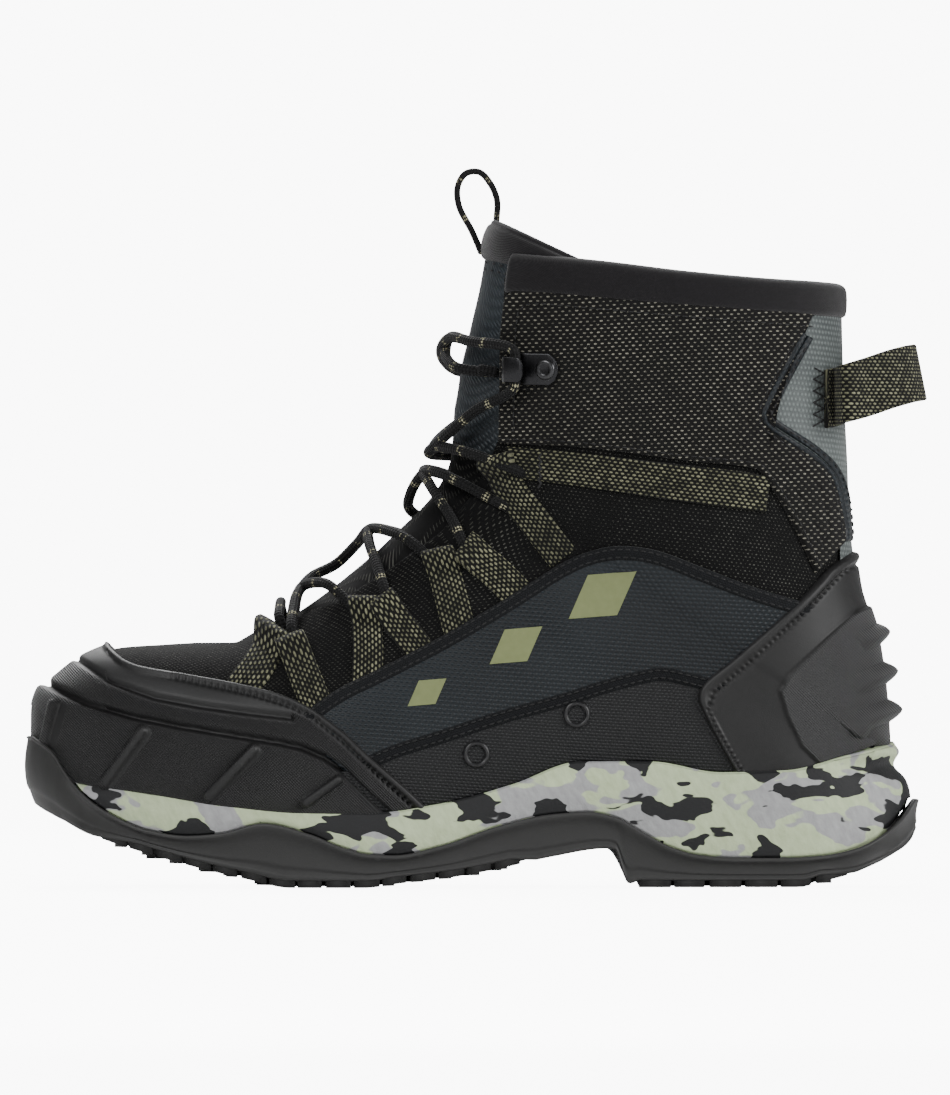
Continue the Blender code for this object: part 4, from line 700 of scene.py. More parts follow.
x, z = flat[..., 0], flat[..., 2]
inside, _ = distance(x, z, toe_rim)
lift = 0.0004 + CAP_THICKNESS * rolled(inside + 0.0001, 0.0016)
lift += 0.0009 * np.exp(-((inside - 0.0012) / 0.0011) ** 4)
near_rim, rim_run = distance(x, z, rim_groove)
dash = 0.62 + 0.38 * np.cos(2.0 * math.pi * 62.0 * rim_run)
lift -= 0.0012 * dash * np.exp(-(near_rim / 0.0007) ** 2) * (inside > 0.0018)
lift -= 0.0015 * np.exp(-((distance(x, z, upper_groove)[0]) / 0.0009) ** 2)
lift -= 0.0025 * np.exp(-((distance(x, z, main_groove)[0]) / 0.0012) ** 2)
below = np.interp(x, main_groove[:, 0], main_groove[:, 1]) - z
lift += 0.0011 * np.clip(below / 0.0022, 0.0, 1.0)
for rib, width in RIBS:
    near, along_rib = distance(x, z, side_line(rib))
    lift += 0.0027 * np.sqrt(np.clip(1.0 - (near / (0.5 * width)) ** 2, 0.0, 1.0)) * (1.0 - 0.45 * along_rib)
grids = []
for side in SIDES:
    top = place_on(s, g, side, lift)
    edge_in = place_on(s[:, -1:], g[:, -1:], side, 0.0 * g[:, -1:] - 0.0003)
    low = place_on(s[:, :1], g[:, :1], side, lift[:, :1] - 0.0010) - np.array((0.0, 0.0, 0.0012))
    points = np.concatenate((low, top, edge_in), axis=1)
    grids.append((points, np.stack((points[..., 0], points[..., 2]), axis=-1), side > 0))
cap_rubber = rubber("toe_rubber_look", (0.0088, 0.0088, 0.0090), "hatch", groove_shade_mask="groove")
toe_shell = mesh_piece("toe_shell", grids, cap_rubber, ("toe_cap", "toe_rim"))


def hatch_below(co):
    """Mask of the cap's hatch: below the upper groove, off the grooves and off the ribs."""
    under = np.interp(co[:, 0], upper_groove[:, 0], upper_groove[:, 1]) - co[:, 2]
    beyond = distance(co[:, 0], co[:, 2], main_groove)[0]
    deeper = co[:, 2] < np.interp(co[:, 0], main_groove[:, 0], main_groove[:, 1]) - 0.0015
    seam = distance(co[:, 0], co[:, 2], rim_groove)[0]
    under_rim = co[:, 2] < np.interp(co[:, 0], rim_groove[:, 0], rim_groove[:, 1])
    tier = np.where(co[:, 0] < x_at(0.300), np.clip((under - 0.0012) / 0.0006, 0.0, 1.0),
                    under_rim * np.clip((seam - 0.0013) / 0.0006, 0.0, 1.0))
    tier = np.where(deeper, 1.0, tier) * np.clip((beyond - 0.0014) / 0.0006, 0.0, 1.0)
    for rib, width in RIBS:
        tier *= np.clip((distance(co[:, 0], co[:, 2], side_line(rib))[0] - 0.5 * width) / 0.0005, 0.0, 1.0)
    return tier


add_mask(toe_shell, "hatch", hatch_below)


def in_grooves(*grooves):
    """Mask of the vertices in the grooves: exp(-(distance / width)^2) of the nearest groove."""
    def values(co):
        near = [distance(co[:, 0], co[:, 2], line)[0] / width for line, width in grooves]
        return np.exp(-np.square(near)).max(axis=0)

    return values


# The toe cap's groove mask: where painted shade darkens its grooves.
add_mask(toe_shell, "groove",
         in_grooves((upper_groove, 0.0008), (main_groove, 0.0011), (rim_groove, 0.0005)))

# Heel counter: a moulded rubber cup bonded over the heel, with a rolled rim, a stitched
# groove inside it, a hatched raised panel and three fins across the back.
HEEL_RIM = ((1.02, 0.50), (0.962, 0.475), (0.935, 0.459), (0.904, 0.422), (0.889, 0.391),
            (0.861, 0.340), (0.800, 0.242), (0.765, 0.190), (0.757, 0.159), (0.762, 0.128),
            (0.784, 0.051), (0.813, -0.041), (0.84, -0.140))
COUNTER_THICKNESS = 0.0021
heel_rim = rounded(HEEL_RIM)
stitch_groove = side_line(shares((985, 450), (938, 434), (913, 408), (880, 342), (839, 269), (800, 206),
                                 (774, 166), (768, 132), (776, 96), (807, 4), (824, -40)))
panel_line = side_line(shares((1000, 372), (949, 344), (930, 330), (900, 279), (859, 206), (848, 171),
                              (856, 120), (872, 57), (890, 24), (905, 4)))
FINS = (
    (shares((968, 295), (950, 284), (930, 266)), 0.0070),
    (shares((972, 215), (945, 197), (924, 180)), 0.0074),
    (shares((976, 139), (945, 118), (914, 92)), 0.0078),
)


def girth_ahead(stations, line, clear=0.0):
    """Girth of the first place, from the base up, that lies ahead of a side-view line by a clearance."""
    x, z = section_lines(stations, 2400)
    first = (x < x_on_line(line, z) - clear).argmax(axis=1)
    rows = np.arange(len(first))
    return station_girth(x[rows, first], z[rows, first])[1]


rows, cols = 320, 130
s = np.linspace(12.0, 21.0, 2400)
s, rim_at = even_rows(s, girth_ahead(s, heel_rim), rows)
g = rim_at[:, None] * np.linspace(0.0, 1.0, cols)[None, :]
s = s[:, None] + 0.0 * g
flat = last_point(s, g, -1.0)
x, z = flat[..., 0], flat[..., 2]
inside, _ = distance(x, z, heel_rim)
lift = 0.0004 + COUNTER_THICKNESS * rolled(inside + 0.0001, 0.0014)
lift += 0.0007 * np.exp(-((inside - 0.0016) / 0.0013) ** 4)
near_seam, seam_run = distance(x, z, stitch_groove)
lift -= 0.0010 * (0.62 + 0.38 * np.cos(2.0 * math.pi * 58.0 * seam_run)) * np.exp(-(near_seam / 0.0008) ** 2)
panel_depth, _ = distance(x, z, panel_line)
panel_depth = np.where(x > x_on_line(panel_line, z), panel_depth, -panel_depth)
lift += 0.0013 * np.clip(0.5 + panel_depth / 0.0010, 0.0, 1.0) * (z < panel_line[0, 1])
at_back = np.clip((x - x_at(0.905)) / 0.012, 0.0, 1.0) * np.clip((z_at(0.37) - z) / 0.012, 0.0, 1.0)
lift += 0.0012 * at_back * np.clip((z - z_at(0.0)) / 0.010, 0.0, 1.0)
for fin, width in FINS:
    near, along_fin = distance(x, z, side_line(fin))
    height = 0.0058 * (1.0 - along_fin) ** 0.5
    profile = np.clip(1.0 - (near / (0.5 * width)) ** 1.6, 0.0, 1.0)
    lift += height * profile
grids = []
for side in SIDES:
    top = place_on(s, g, side, lift)
    edge_in = place_on(s[:, -1:], g[:, -1:], side, 0.0 * g[:, -1:] - 0.0003)
    points = np.concatenate((top, edge_in), axis=1)
    grids.append((points, np.stack((points[..., 0], points[..., 2]), axis=-1), side < 0))
# Panel factor 6: the heel's hatched panel is painted much paler, as painted light falling on it from the
# back.
counter_rubber = rubber("heel_rubber_look", (0.0072, 0.0072, 0.0073), "hatch", panel=6.0,
                        groove_shade_mask="groove")
heel_cup = mesh_piece("heel_cup", grids, counter_rubber,
                      ("heel_counter", "heel_rib_1", "heel_rib_2", "heel_rib_3"), flip=True)


def hatch_panel(co):
    """Mask of the raised panel's hatch and of its painted light: behind and below its outline."""
    deep, _ = distance(co[:, 0], co[:, 2], panel_line)
    within = (co[:, 0] > x_on_line(panel_line, co[:, 2])) & (co[:, 2] < panel_line[0, 1])
    return np.clip((deep - 0.0010) / 0.0006, 0.0, 1.0) * within


add_mask(heel_cup, "hatch", hatch_panel)
# The heel cup's groove mask: where painted shade darkens its grooves.
add_mask(heel_cup, "groove", in_grooves((panel_line, 0.0006), (stitch_groove, 0.0005)))

# Side panels: coated cloth with a small raised dot pattern, each under a turned binding with
# two rows of stitching along its top and along the seam with the drain panel below.
QUARTER_TOP = ((0.300, 0.100), (0.350, 0.165), (0.399, 0.210), (0.468, 0.275), (0.541, 0.353),
               (0.602, 0.424), (0.638, 0.453), (0.670, 0.463), (0.712, 0.453), (0.763, 0.418),
               (0.816, 0.381), (0.872, 0.349), (0.905, 0.335))
QUARTER_SEAM = ((0.380, 0.020), (0.420, 0.050), (0.468, 0.077), (0.537, 0.118),
                (0.606, 0.153), (0.652, 0.179), (0.697, 0.200), (0.721, 0.204),
                (0.759, 0.189), (0.800, 0.170))
PANEL_THICKNESS = 0.0012


def outline_patch(low, high, side, thickness, lift=0.0004, roll=0.0010, rows=70, cols=260, relief=None):
    """Grid over the boot between two side-view lines.

    Place (u, v) = (1 - v) low(u) + v high(u), both clustered at the edges as (1 - cos pi t)/2,
    lifted by lift + thickness * quarter round of the distance to the outline.
    """
    cluster = 0.5 * (1.0 - np.cos(math.pi * np.linspace(0.0, 1.0, cols)))
    cluster = 0.5 * cluster + 0.5 * np.linspace(0.0, 1.0, cols)
    low, high = resampled(low, 800), resampled(high, 800)
    at = cluster * 799.0
    low = np.stack([np.interp(at, np.arange(800), low[:, k]) for k in (0, 1)], axis=1)
    high = np.stack([np.interp(at, np.arange(800), high[:, k]) for k in (0, 1)], axis=1)
    v = 0.5 * (1.0 - np.cos(math.pi * np.linspace(0.0, 1.0, rows)))[None, :]
    x = low[:, :1] * (1.0 - v) + high[:, :1] * v
    z = low[:, 1:] * (1.0 - v) + high[:, 1:] * v
    inside = distance(x, z, np.vstack((resampled(low, 90), resampled(high, 90)[::-1], low[:1])))[0]
    height = lift + thickness * rolled(inside, roll)
    if relief is not None:
        height = height + relief(x, z, inside)
    x, z, height = (np.pad(a, 1, mode="edge") for a in (x, z, height))
    height[[0, -1], :] = height[:, [0, -1]] = -0.0004
    s, g = station_girth(x, z)
    points = place_on(s, g, side, height)
    return points, np.stack((x, z), axis=-1), side < 0


def strip_patch(line, width, side, thickness, lift=0.0004, roll=0.0007, rows=14, cols=240, relief=None,
                crown=0.0):
    """Narrow band over the boot along a side-view line: place = line(u) + w normal(u)."""
    line = resampled(line, cols)
    way = np.gradient(line, axis=0)
    way /= np.linalg.norm(way, axis=1)[:, None]
    across = np.stack((-way[:, 1], way[:, 0]), axis=1)
    t = -np.cos(math.pi * np.linspace(0.0, 1.0, rows))
    wide = 0.5 * (width if np.ndim(width) else np.full(cols, width))
    x = line[:, :1] + across[:, :1] * wide[:, None] * t
    z = line[:, 1:] + across[:, 1:] * wide[:, None] * t
    run = np.concatenate(((0.0,), np.cumsum(np.linalg.norm(np.diff(line, axis=0), axis=1))))
    inside = np.minimum(wide[:, None] * (1.0 - np.abs(t)), np.minimum(run, run[-1] - run)[:, None])
    height = lift + thickness * rolled(inside, roll) + crown * (1.0 - t ** 2)
    if relief is not None:
        height = height + relief(run[:, None] + 0 * t, wide[:, None] * t, run[-1])
    uv = np.stack((run[:, None] + 0.0 * t, wide[:, None] * t), axis=-1)
    x, z, height = (np.pad(a, 1, mode="edge") for a in (x, z, height))
    uv = np.pad(uv, ((1, 1), (1, 1), (0, 0)), mode="edge")
    height[[0, -1], :] = height[:, [0, -1]] = -0.0004
    s, g = station_girth(x, z)
    return place_on(s, g, side, height), uv, side > 0


def parallel(line, offset):
    """A side-view line in metres moved to its left by an offset."""
    way = np.gradient(line, axis=0)
    way /= np.linalg.norm(way, axis=1)[:, None]
    return line + offset * np.stack((-way[:, 1], way[:, 0]), axis=1)


def stitches(name, lines, lift, material, pitch=0.0027, length=0.0021, radius=0.00033):
    """Rows of stitches: each is an ellipsoid c + (L/2 cos p) t + r sin p (cos q n + sin q b), half sunk."""
    rings, spokes = 6, 6
    p = np.linspace(0.0, math.pi, rings)[:, None]
    q = np.linspace(0.0, 2.0 * math.pi, spokes, endpoint=False)[None, :]
    verts, faces, start = [], [], 0
    for line, side in lines:
        total = np.linalg.norm(np.diff(line, axis=0), axis=1).sum()
        count = max(3, int(total / pitch))
        fine = resampled(line, 3 * count + 1)
        s, g = station_girth(fine[:, 0], fine[:, 1])
        low = place_on(s, g, side, lift + 0.0 * s)
        up = place_on(s, g, side, lift + 0.001 + 0.0 * s)
        centre, out = low[1::3][:count], (up - low)[1::3][:count] * 1000.0
        way = (low[2::3][:count] - low[0::3][:count])
        way /= np.linalg.norm(way, axis=1)[:, None]
        beside = np.cross(way, out)
        body = (centre[:, None, None, :]
                + 0.5 * length * (np.cos(p) + 0 * q)[None, ..., None] * way[:, None, None, :]
                + radius * (np.sin(p) * np.cos(q))[None, ..., None] * out[:, None, None, :]
                + radius * (np.sin(p) * np.sin(q))[None, ..., None] * beside[:, None, None, :])
        verts.append(body.reshape(-1, 3))
        ids = np.arange(len(centre) * rings * spokes).reshape(len(centre), rings, spokes) + start
        nxt = np.roll(ids, -1, axis=2)
        faces.append(np.stack((ids[:, :-1], nxt[:, :-1], nxt[:, 1:], ids[:, 1:]), axis=-1).reshape(-1, 4))
        start += ids.size
    verts, faces = np.concatenate(verts), np.concatenate(faces)
    mesh = bpy.data.meshes.new(name)
    mesh.from_pydata(verts.tolist(), [], faces.tolist())
    return riding_object(name, mesh, material, face_outwards)


def coated(name, ground, light, pitch=(0.0021, 0.00145)):
    """Coated cloth: rows of small raised dashes painted lighter as painted highlights, a sheen of the
    coating, and paler rubbed areas.
    """
    look = Look(name, roughness=0.46, specular=0.32, coat=0.03)
    u, v = look.split(look.uv((1.0 / pitch[0], 1.0 / pitch[1]), 0.06))
    row = look.math("FLOOR", v)
    u = look.math("ADD", u, look.math("MULTIPLY", row, 0.5))
    du = look.math("DIVIDE", look.math("ABSOLUTE", look.math("SUBTRACT", look.math("FRACT", u), 0.5)), 1.1)
    dv = look.math("ABSOLUTE", look.math("SUBTRACT", look.math("FRACT", v), 0.5))
    far = look.math("SQRT", look.math("ADD", look.math("MULTIPLY", du, du), look.math("MULTIPLY", dv, dv)))
    bead_and_highlight = look.node("MapRange", {"Value": far, "From Min": 0.42, "From Max": 0.12})
    cloud = look.noise(look.place(), 16.0, 3.0)
    tone = look.mix(look.ramp(cloud, (0.38, 0.0), (0.66, 1.0)), ground, light)
    # The raised dashes are painted lighter: a painted highlight on each, besides their bump.
    tone = look.mix(look.math("MULTIPLY", bead_and_highlight, 0.55), tone, tuple(2.0 * c for c in light))
    rough = look.math("ADD", 0.40, look.math("MULTIPLY", cloud, 0.16))
    return look.finish(tone, bead_and_highlight, 0.00026, rough)


slate = coated("coated_cloth_look", (0.0030, 0.0046, 0.0062), (0.0090, 0.0128, 0.0160))
binding = weave("binding_look", (0.0010, 0.0007), (0.0030, 0.0038, 0.0046), (0.009, 0.010, 0.012),
                (0.00035, 0.0002), relief=0.00012, sheen=0.1)
thread_look = Look("thread_look", roughness=0.7, sheen=0.06)
black_thread = thread_look.finish((0.0055, 0.0055, 0.0060))

# Tongue's face: coated cloth bonded to the padded sheet below its neoprene top, and the black
# weave at its foot, with two rows of stitching under the seam between cloth and neoprene.
FACE_COLUMNS = 38
grids, foot_grids, tongue_lines = [], [], []
for side in SIDES:
    for target, first, last in ((grids, mesh_row, seam_row), (foot_grids, 0, mesh_row)):
        part = slice(first, last + 1)
        s, g = s_tongue[part, :FACE_COLUMNS], g_tongue[part, :FACE_COLUMNS]
        skin = place_on(s, g, side, -WALL - 0.0002 + 0.0 * g)
        target.append((skin, arc_uv(skin), side < 0))
    for row in (seam_row - 1, seam_row - 4):
        line = np.stack((x_tongue[row, 1:FACE_COLUMNS], z_tongue[row, 1:FACE_COLUMNS]), axis=1)
        tongue_lines.append((line, side))
tongue_slate = coated("tongue_look", (0.0055, 0.0080, 0.0100), (0.0160, 0.0215, 0.0260))
mesh_piece("tongue_face", grids, tongue_slate, ())
mesh_piece("tongue_foot", foot_grids, black_mesh, ())
stitches("tongue_stitching", tongue_lines, -WALL + 0.0001, black_thread)

quarter_top, quarter_seam = rounded(QUARTER_TOP), rounded(QUARTER_SEAM)
side_grids, binding_grids, stitch_lines = [], [], []
for side in SIDES:
    front_corner, back_corner = (side_line(shares((300, 100), (330, 50), (365, 0))),
                                 side_line(shares((815, 165))))
    low = np.vstack((front_corner, quarter_seam, back_corner))
    side_grids.append(outline_patch(low, quarter_top, side, PANEL_THICKNESS, rows=90, cols=300))
    folded = parallel(quarter_top, -0.0018)
    binding_grids.append(strip_patch(folded, 0.0050, side, 0.0008, lift=0.0012, crown=0.0004))
    binding_grids.append(strip_patch(quarter_seam, 0.0052, side, 0.0006, lift=0.0010, crown=0.0004))
    for offset in (-0.0004, -0.0032):
        stitch_lines.append((parallel(quarter_top, offset), side))
    for offset in (0.0013, -0.0013):
        stitch_lines.append((parallel(quarter_seam, offset), side))
mesh_piece("side_cloth", side_grids, slate, ("side_panel_lateral", "side_panel_medial"))
mesh_piece("panel_binding", binding_grids, binding, ())
stitches("panel_stitching", stitch_lines, 0.0022, black_thread)

# Drain panels: the same coated cloth, darker, let in between the side panels' lower seam and
# the midsole, one a side.
drain_grids = []
for side in SIDES:
    top = np.vstack((side_line(shares((352, 6))), quarter_seam, side_line(shares((812, 168)))))
    bottom_s = np.linspace(8.0, 13.4, 60)
    bottom = last_point(bottom_s, 0.0 * bottom_s, -1.0)[:, [0, 2]]
    drain_grids.append(outline_patch(bottom, top, side, 0.0009, rows=60, cols=240))
drain_slate = coated("drain_cloth_look", (0.0048, 0.0051, 0.0056), (0.0072, 0.0077, 0.0084),
                     pitch=(0.0016, 0.0011))
mesh_piece("drain_cloth", drain_grids, drain_slate, ("drain_panel_lateral", "drain_panel_medial"))

# Back gore: coated cloth down the back of the shaft, paler than the side panels, sewn in
# between the two cuff panels' rear edges.
CUFF_BACK = ((0.887, 0.945), (0.850, 0.820), (0.831, 0.748), (0.830, 0.732), (0.838, 0.708),
             (0.885, 0.650), (0.908, 0.602), (0.920, 0.520), (0.922, 0.476))
cuff_back = rounded(CUFF_BACK)
s = np.linspace(19.5, 24.3, 200)
g = girth_ahead(s, cuff_back, 0.0020)[:, None] * np.linspace(0.0, 1.0, 60)[None, :]
grids = []
for side in SIDES:
    points = place_on(s[:, None] + 0 * g, g, side, 0.0011 + 0 * g)
    uv = np.stack((points[..., 0] - 0.5 * abs(points[..., 1]), points[..., 2]), axis=-1)
    grids.append((points, uv, side > 0))
gore_slate = coated("gore_look", (0.040, 0.048, 0.050), (0.120, 0.136, 0.132), pitch=(0.0019, 0.0019))
mesh_piece("gore_cloth", grids, gore_slate, ("back_gore",))

# Cuff panels: heavy black weave with pale floats, one a side, with a folded hem at the top and
# in front, and a rear edge that is piped and stitched twice to the gore.
CUFF_TOP = ((0.556, 0.994), (0.602, 0.989), (0.703, 0.972), (0.804, 0.957), (0.887, 0.945))
CUFF_LOW = ((0.534, 0.677), (0.627, 0.669), (0.741, 0.642), (0.813, 0.628), (0.832, 0.606),
            (0.861, 0.520), (0.889, 0.412))
cuff_weave = weave("cuff_weave_look", (0.00240, 0.00135), (0.0036, 0.0034, 0.0032), (0.36, 0.345, 0.28),
                   (0.00050, 0.00028), turn=-0.05, shade=0.35, vary=0.25, relief=0.00045, warp=0.0006)
cuff_low = rounded(CUFF_LOW)
cuff_top = rounded(CUFF_TOP)
cuff_grids, piping, cuff_lines = [], [], []
corner = side_line(shares((534, 677), (536, 890), (540, 960), (543, 978), (548, 988)))
high = np.vstack((corner, cuff_top, cuff_back))
stitch_start = side_line(shares((552, 700), (555, 900), (558, 945), (566, 960)))
hem_line = np.vstack((stitch_start, parallel(cuff_top, -0.0052)[8:]))
second_row = parallel(cuff_back, 0.0026)


def hem(x, z, inside):
    """A shallow trough just inside the folded top and front hem."""
    return -0.0004 * np.exp(-((inside - 0.0062) / 0.0007) ** 2)


for side in SIDES:
    cuff_grids.append(outline_patch(cuff_low, high, side, 0.0017, rows=120, cols=340, relief=hem))
    piping.append(strip_patch(cuff_back[4:], 0.0022, side, 0.0009, lift=0.0010, rows=12, crown=0.0008))
    piping.append(strip_patch(second_row[4:], 0.0024, side, 0.0004, lift=0.0012, rows=12, crown=0.0003))
    cuff_lines.append((second_row[6:-2], side))
    cuff_lines.append((parallel(cuff_back, -0.0020)[6:-2], side))
    cuff_lines.append((hem_line, side))
    cuff_lines.append((parallel(cuff_low, 0.0018), side))
mesh_piece("cuff_cloth", cuff_grids, cuff_weave, ("cuff_panel_lateral", "cuff_panel_medial"))
mesh_piece("cuff_piping", piping, slate, ())
stitches("cuff_stitching", cuff_lines, 0.0021, black_thread)

# Ankle webbing: a flat olive and black band a side, sewn along the cuff's lower edge, with a
# bar tack near its front end.
WEBBING_MIDDLE = ((0.540, 0.640), (0.627, 0.622), (0.741, 0.595), (0.806, 0.580), (0.836, 0.572))
olive_webbing = weave("olive_webbing_look", (0.00205, 0.00125), (0.0040, 0.0041, 0.0030), (0.33, 0.33, 0.205),
                      (0.00060, 0.00036), shade=0.45, relief=0.0004, warp=0.0006)


def zigzag(start, across, rise, count):
    """Side-view legs of a zigzag seam that climbs from its start, to and fro."""
    turns = [(start[0] + across * (n % 2), start[1] + rise * n) for n in range(count + 1)]
    return [side_line(leg) for leg in zip(turns[:-1], turns[1:])]


webbing = rounded(WEBBING_MIDDLE)
wide = np.interp(np.linspace(0.0, 1.0, 240), (0.0, 0.3, 0.85, 1.0), (0.0108, 0.0116, 0.0134, 0.0128))
grids = [strip_patch(webbing, wide, side, 0.0011, rows=24) for side in SIDES]
mesh_piece("ankle_band", grids, olive_webbing, ("ankle_webbing_lateral", "ankle_webbing_medial"))
tack = zigzag((0.5795, 0.588), 0.0028, 0.0075, 9)
stitches("bar_tack", [(leg, side) for leg in tack for side in SIDES], 0.0017, black_thread, pitch=0.0009,
         length=0.0016, radius=0.0004)

# Collar: a padded neoprene band round the shaft's top, turned over the upper's edge and sewn
# down inside, from one side of the tongue to the other.
COLLAR_TOP = ((0.520, 1.071), (0.545, 1.068), (0.652, 1.048), (0.742, 1.028), (0.832, 1.014), (0.90, 1.008),
              (0.97, 1.000))
COLLAR_LOW = ((0.50, 0.985), (0.56, 0.984), (0.602, 0.980), (0.703, 0.963), (0.804, 0.949), (0.887, 0.938),
              (0.98, 0.930))
collar_top, collar_low = rounded(COLLAR_TOP), rounded(COLLAR_LOW)


def station_at_height(girth, line, drop=0.0):
    """Station in the shaft at which a girth reaches a side-view line's height, by bisection."""
    low, high = np.full(girth.shape, 17.5), np.full(girth.shape, float(LAST_STATION))
    for _ in range(26):
        s = 0.5 * (low + high)
        p = last_point(s, girth, -1.0)
        under = p[..., 2] < np.interp(p[..., 0], line[:, 0], line[:, 1]) - drop
        low, high = np.where(under, s, low), np.where(under, high, s)
    return s


_, front_girth = station_girth(x_at(0.541), z_at(1.0))
profile = ((0.0, 0.0002), (0.01, 0.0016), (0.05, 0.0024), (0.15, 0.0028), (0.3, 0.0030), (0.5, 0.0031),
           (0.7, 0.0030), (0.82, 0.0026), (0.90, 0.0019), (0.96, 0.0008), (0.99, -0.0003), (1.0, -0.0016),
           (0.99, -0.0029), (0.96, -0.0040), (0.90, -0.0050), (0.80, -0.0057), (0.5, -0.0060), (0.2, -0.0058),
           (-0.1, -0.0054), (-0.5, -0.0045), (-0.8, -0.0030), (-1.0, -0.0017))
t = np.linspace(0.0, 1.0, 150)
g = float(front_girth) * (1.0 - t)
top_s, low_s = station_at_height(g, collar_top), station_at_height(g, collar_low)
fade = np.sqrt(np.clip(1.0 - (1.0 - np.clip(t / 0.022, 0.0, 1.0)) ** 2, 0.0, 1.0))
grids = []
for side in SIDES:
    columns = []
    for share, lift in profile:
        s = low_s + share * (top_s - low_s)
        middle = -0.0016
        columns.append(place_on(s, g, side, middle + (lift - middle) * fade))
    points = np.stack(columns, axis=1)
    grids.append((points, np.stack((points[..., 0] + points[..., 1], points[..., 2]), axis=-1), side < 0))
collar_band = mesh_piece("collar_band", grids, neoprene, ("collar",))

# Drain ports: black plastic eyelets with a dark woven screen, two a side, pressed through the
# side panel's seam and the drain panel.
PORTS = ((0.507, 0.042), (0.620, 0.123))


def turned_on(side, along, up, profile, spokes=48):
    """Body of revolution on the boot's face: rings c + r (cos q t + sin q b) + h n for each (r, h)."""
    s, g = station_girth(np.array([x_at(along)]), np.array([z_at(up)]))
    base, top = place_on(s, g, side, 0.0 * s)[0], place_on(s, g, side, 0.0 * s + 0.001)[0]
    out = (top - base) * 1000.0
    first = np.cross(out, (0.0, 0.0, 1.0))
    first /= np.linalg.norm(first)
    second = np.cross(out, first)
    q = np.linspace(0.0, 2.0 * math.pi, spokes + 1)
    circle = np.cos(q)[:, None] * first + np.sin(q)[:, None] * second
    rings = [base + out * h + r * circle for r, h in profile]
    points = np.stack(rings, axis=0)
    uv = np.stack([np.stack((q * 0.003, 0.0 * q + h), axis=-1) for _, h in profile], axis=0)
    return points, uv, False


plastic_look = Look("port_plastic_look", roughness=0.34, specular=0.5)
port_grain = plastic_look.noise(plastic_look.place(), 900.0)
port_black = plastic_look.finish((0.010, 0.010, 0.011), port_grain, 0.0001)
screen_black = weave("screen_look", (0.0009, 0.0009), (0.004, 0.004, 0.004), (0.03, 0.03, 0.03),
                     (0.0003, 0.0003))
port_profile = ((0.0030, -0.0004), (0.0030, 0.0012), (0.0031, 0.0017), (0.0034, 0.0021), (0.0038, 0.0023),
                (0.0043, 0.0022), (0.0047, 0.0018), (0.0049, 0.0012), (0.0050, 0.0006), (0.0050, -0.0002))
grids = [turned_on(side, a, u, port_profile) for a, u in PORTS for side in SIDES]
port_nodes = ("drain_port_lateral_1", "drain_port_lateral_2", "drain_port_medial_1", "drain_port_medial_2")
mesh_piece("drain_rings", grids, port_black, port_nodes)
grids = [turned_on(side, a, u, ((0.0032, 0.0012), (0.0016, 0.00125), (0.00001, 0.0013)), 32)
         for a, u in PORTS for side in SIDES]
mesh_piece("drain_screens", grids, screen_black, ())

# Motif: three plain lozenges printed in olive on each side panel, growing towards the ankle,
# as a thin film over the coated cloth.
motif_look = Look("motif_look", roughness=0.5, specular=0.4)
print_grain = motif_look.noise(motif_look.place(), 420.0, 2.0)
olive_print = motif_look.finish(motif_look.mix(print_grain, (0.165, 0.190, 0.075), (0.205, 0.235, 0.100)),
                                print_grain, 0.00005)
LOZENGES = ((0.452, 0.166, 0.0085, 0.0050), (0.552, 0.262, 0.0115, 0.0068), (0.650, 0.366, 0.0150, 0.0088))
LOZENGE_TURN = 0.62
grids = []
for side in SIDES:
    for along, up, reach, half in LOZENGES:
        centre = np.array((float(x_at(along)), float(z_at(up))))
        way = np.array((math.cos(LOZENGE_TURN), math.sin(LOZENGE_TURN)))
        across = np.array((-way[1], way[0]))
        a, b = np.meshgrid(np.linspace(-1.0, 1.0, 25), np.linspace(-1.0, 1.0, 25), indexing="ij")
        p, q = 0.5 * (a + b), 0.5 * (a - b)
        x = centre[0] + reach * p * way[0] + half * q * across[0]
        z = centre[1] + reach * p * way[1] + half * q * across[1]
        s, g = station_girth(x, z)
        flat = place_on(s, g, side, 0.0 * s + 0.00175)
        grids.append((flat, np.stack((x, z), axis=-1), side < 0))
mesh_piece("printed_motif", grids, olive_print, ())

# Midsole: moulded foam in three marbled colours, cemented under the upper, with a ledge round
# it and a flared heel.
SOLE_MARGIN = ((0.0, 0.0066), (0.03, 0.0062), (0.06, 0.0056), (0.10, 0.0054), (0.25, 0.0060), (0.40, 0.0062),
               (0.55, 0.0052), (0.65, 0.0050), (0.80, 0.0062), (0.90, 0.0086), (0.96, 0.0136))
TOP_MARGIN = ((0.0, 0.0014), (0.10, 0.0026), (0.25, 0.0034), (0.40, 0.0036), (0.55, 0.0031), (0.65, 0.0031),
              (0.80, 0.0036), (0.90, 0.0046), (0.96, 0.0062))
TREAD_LINE = ((0.0, 0.71), (0.039, 0.57), (0.084, 0.43), (0.141, 0.29), (0.197, 0.17),
              (0.253, 0.07), (0.298, 0.0), (0.382, 0.0), (0.422, 0.04), (0.478, 0.09),
              (0.534, 0.17), (0.591, 0.27), (0.655, 0.345), (0.664, 0.33), (0.678, 0.02),
              (0.683, 0.0), (0.872, 0.0), (0.897, 0.05), (0.924, 0.10), (0.954, 0.19),
              (0.970, 0.25), (0.992, 0.37), (1.0, 0.51))
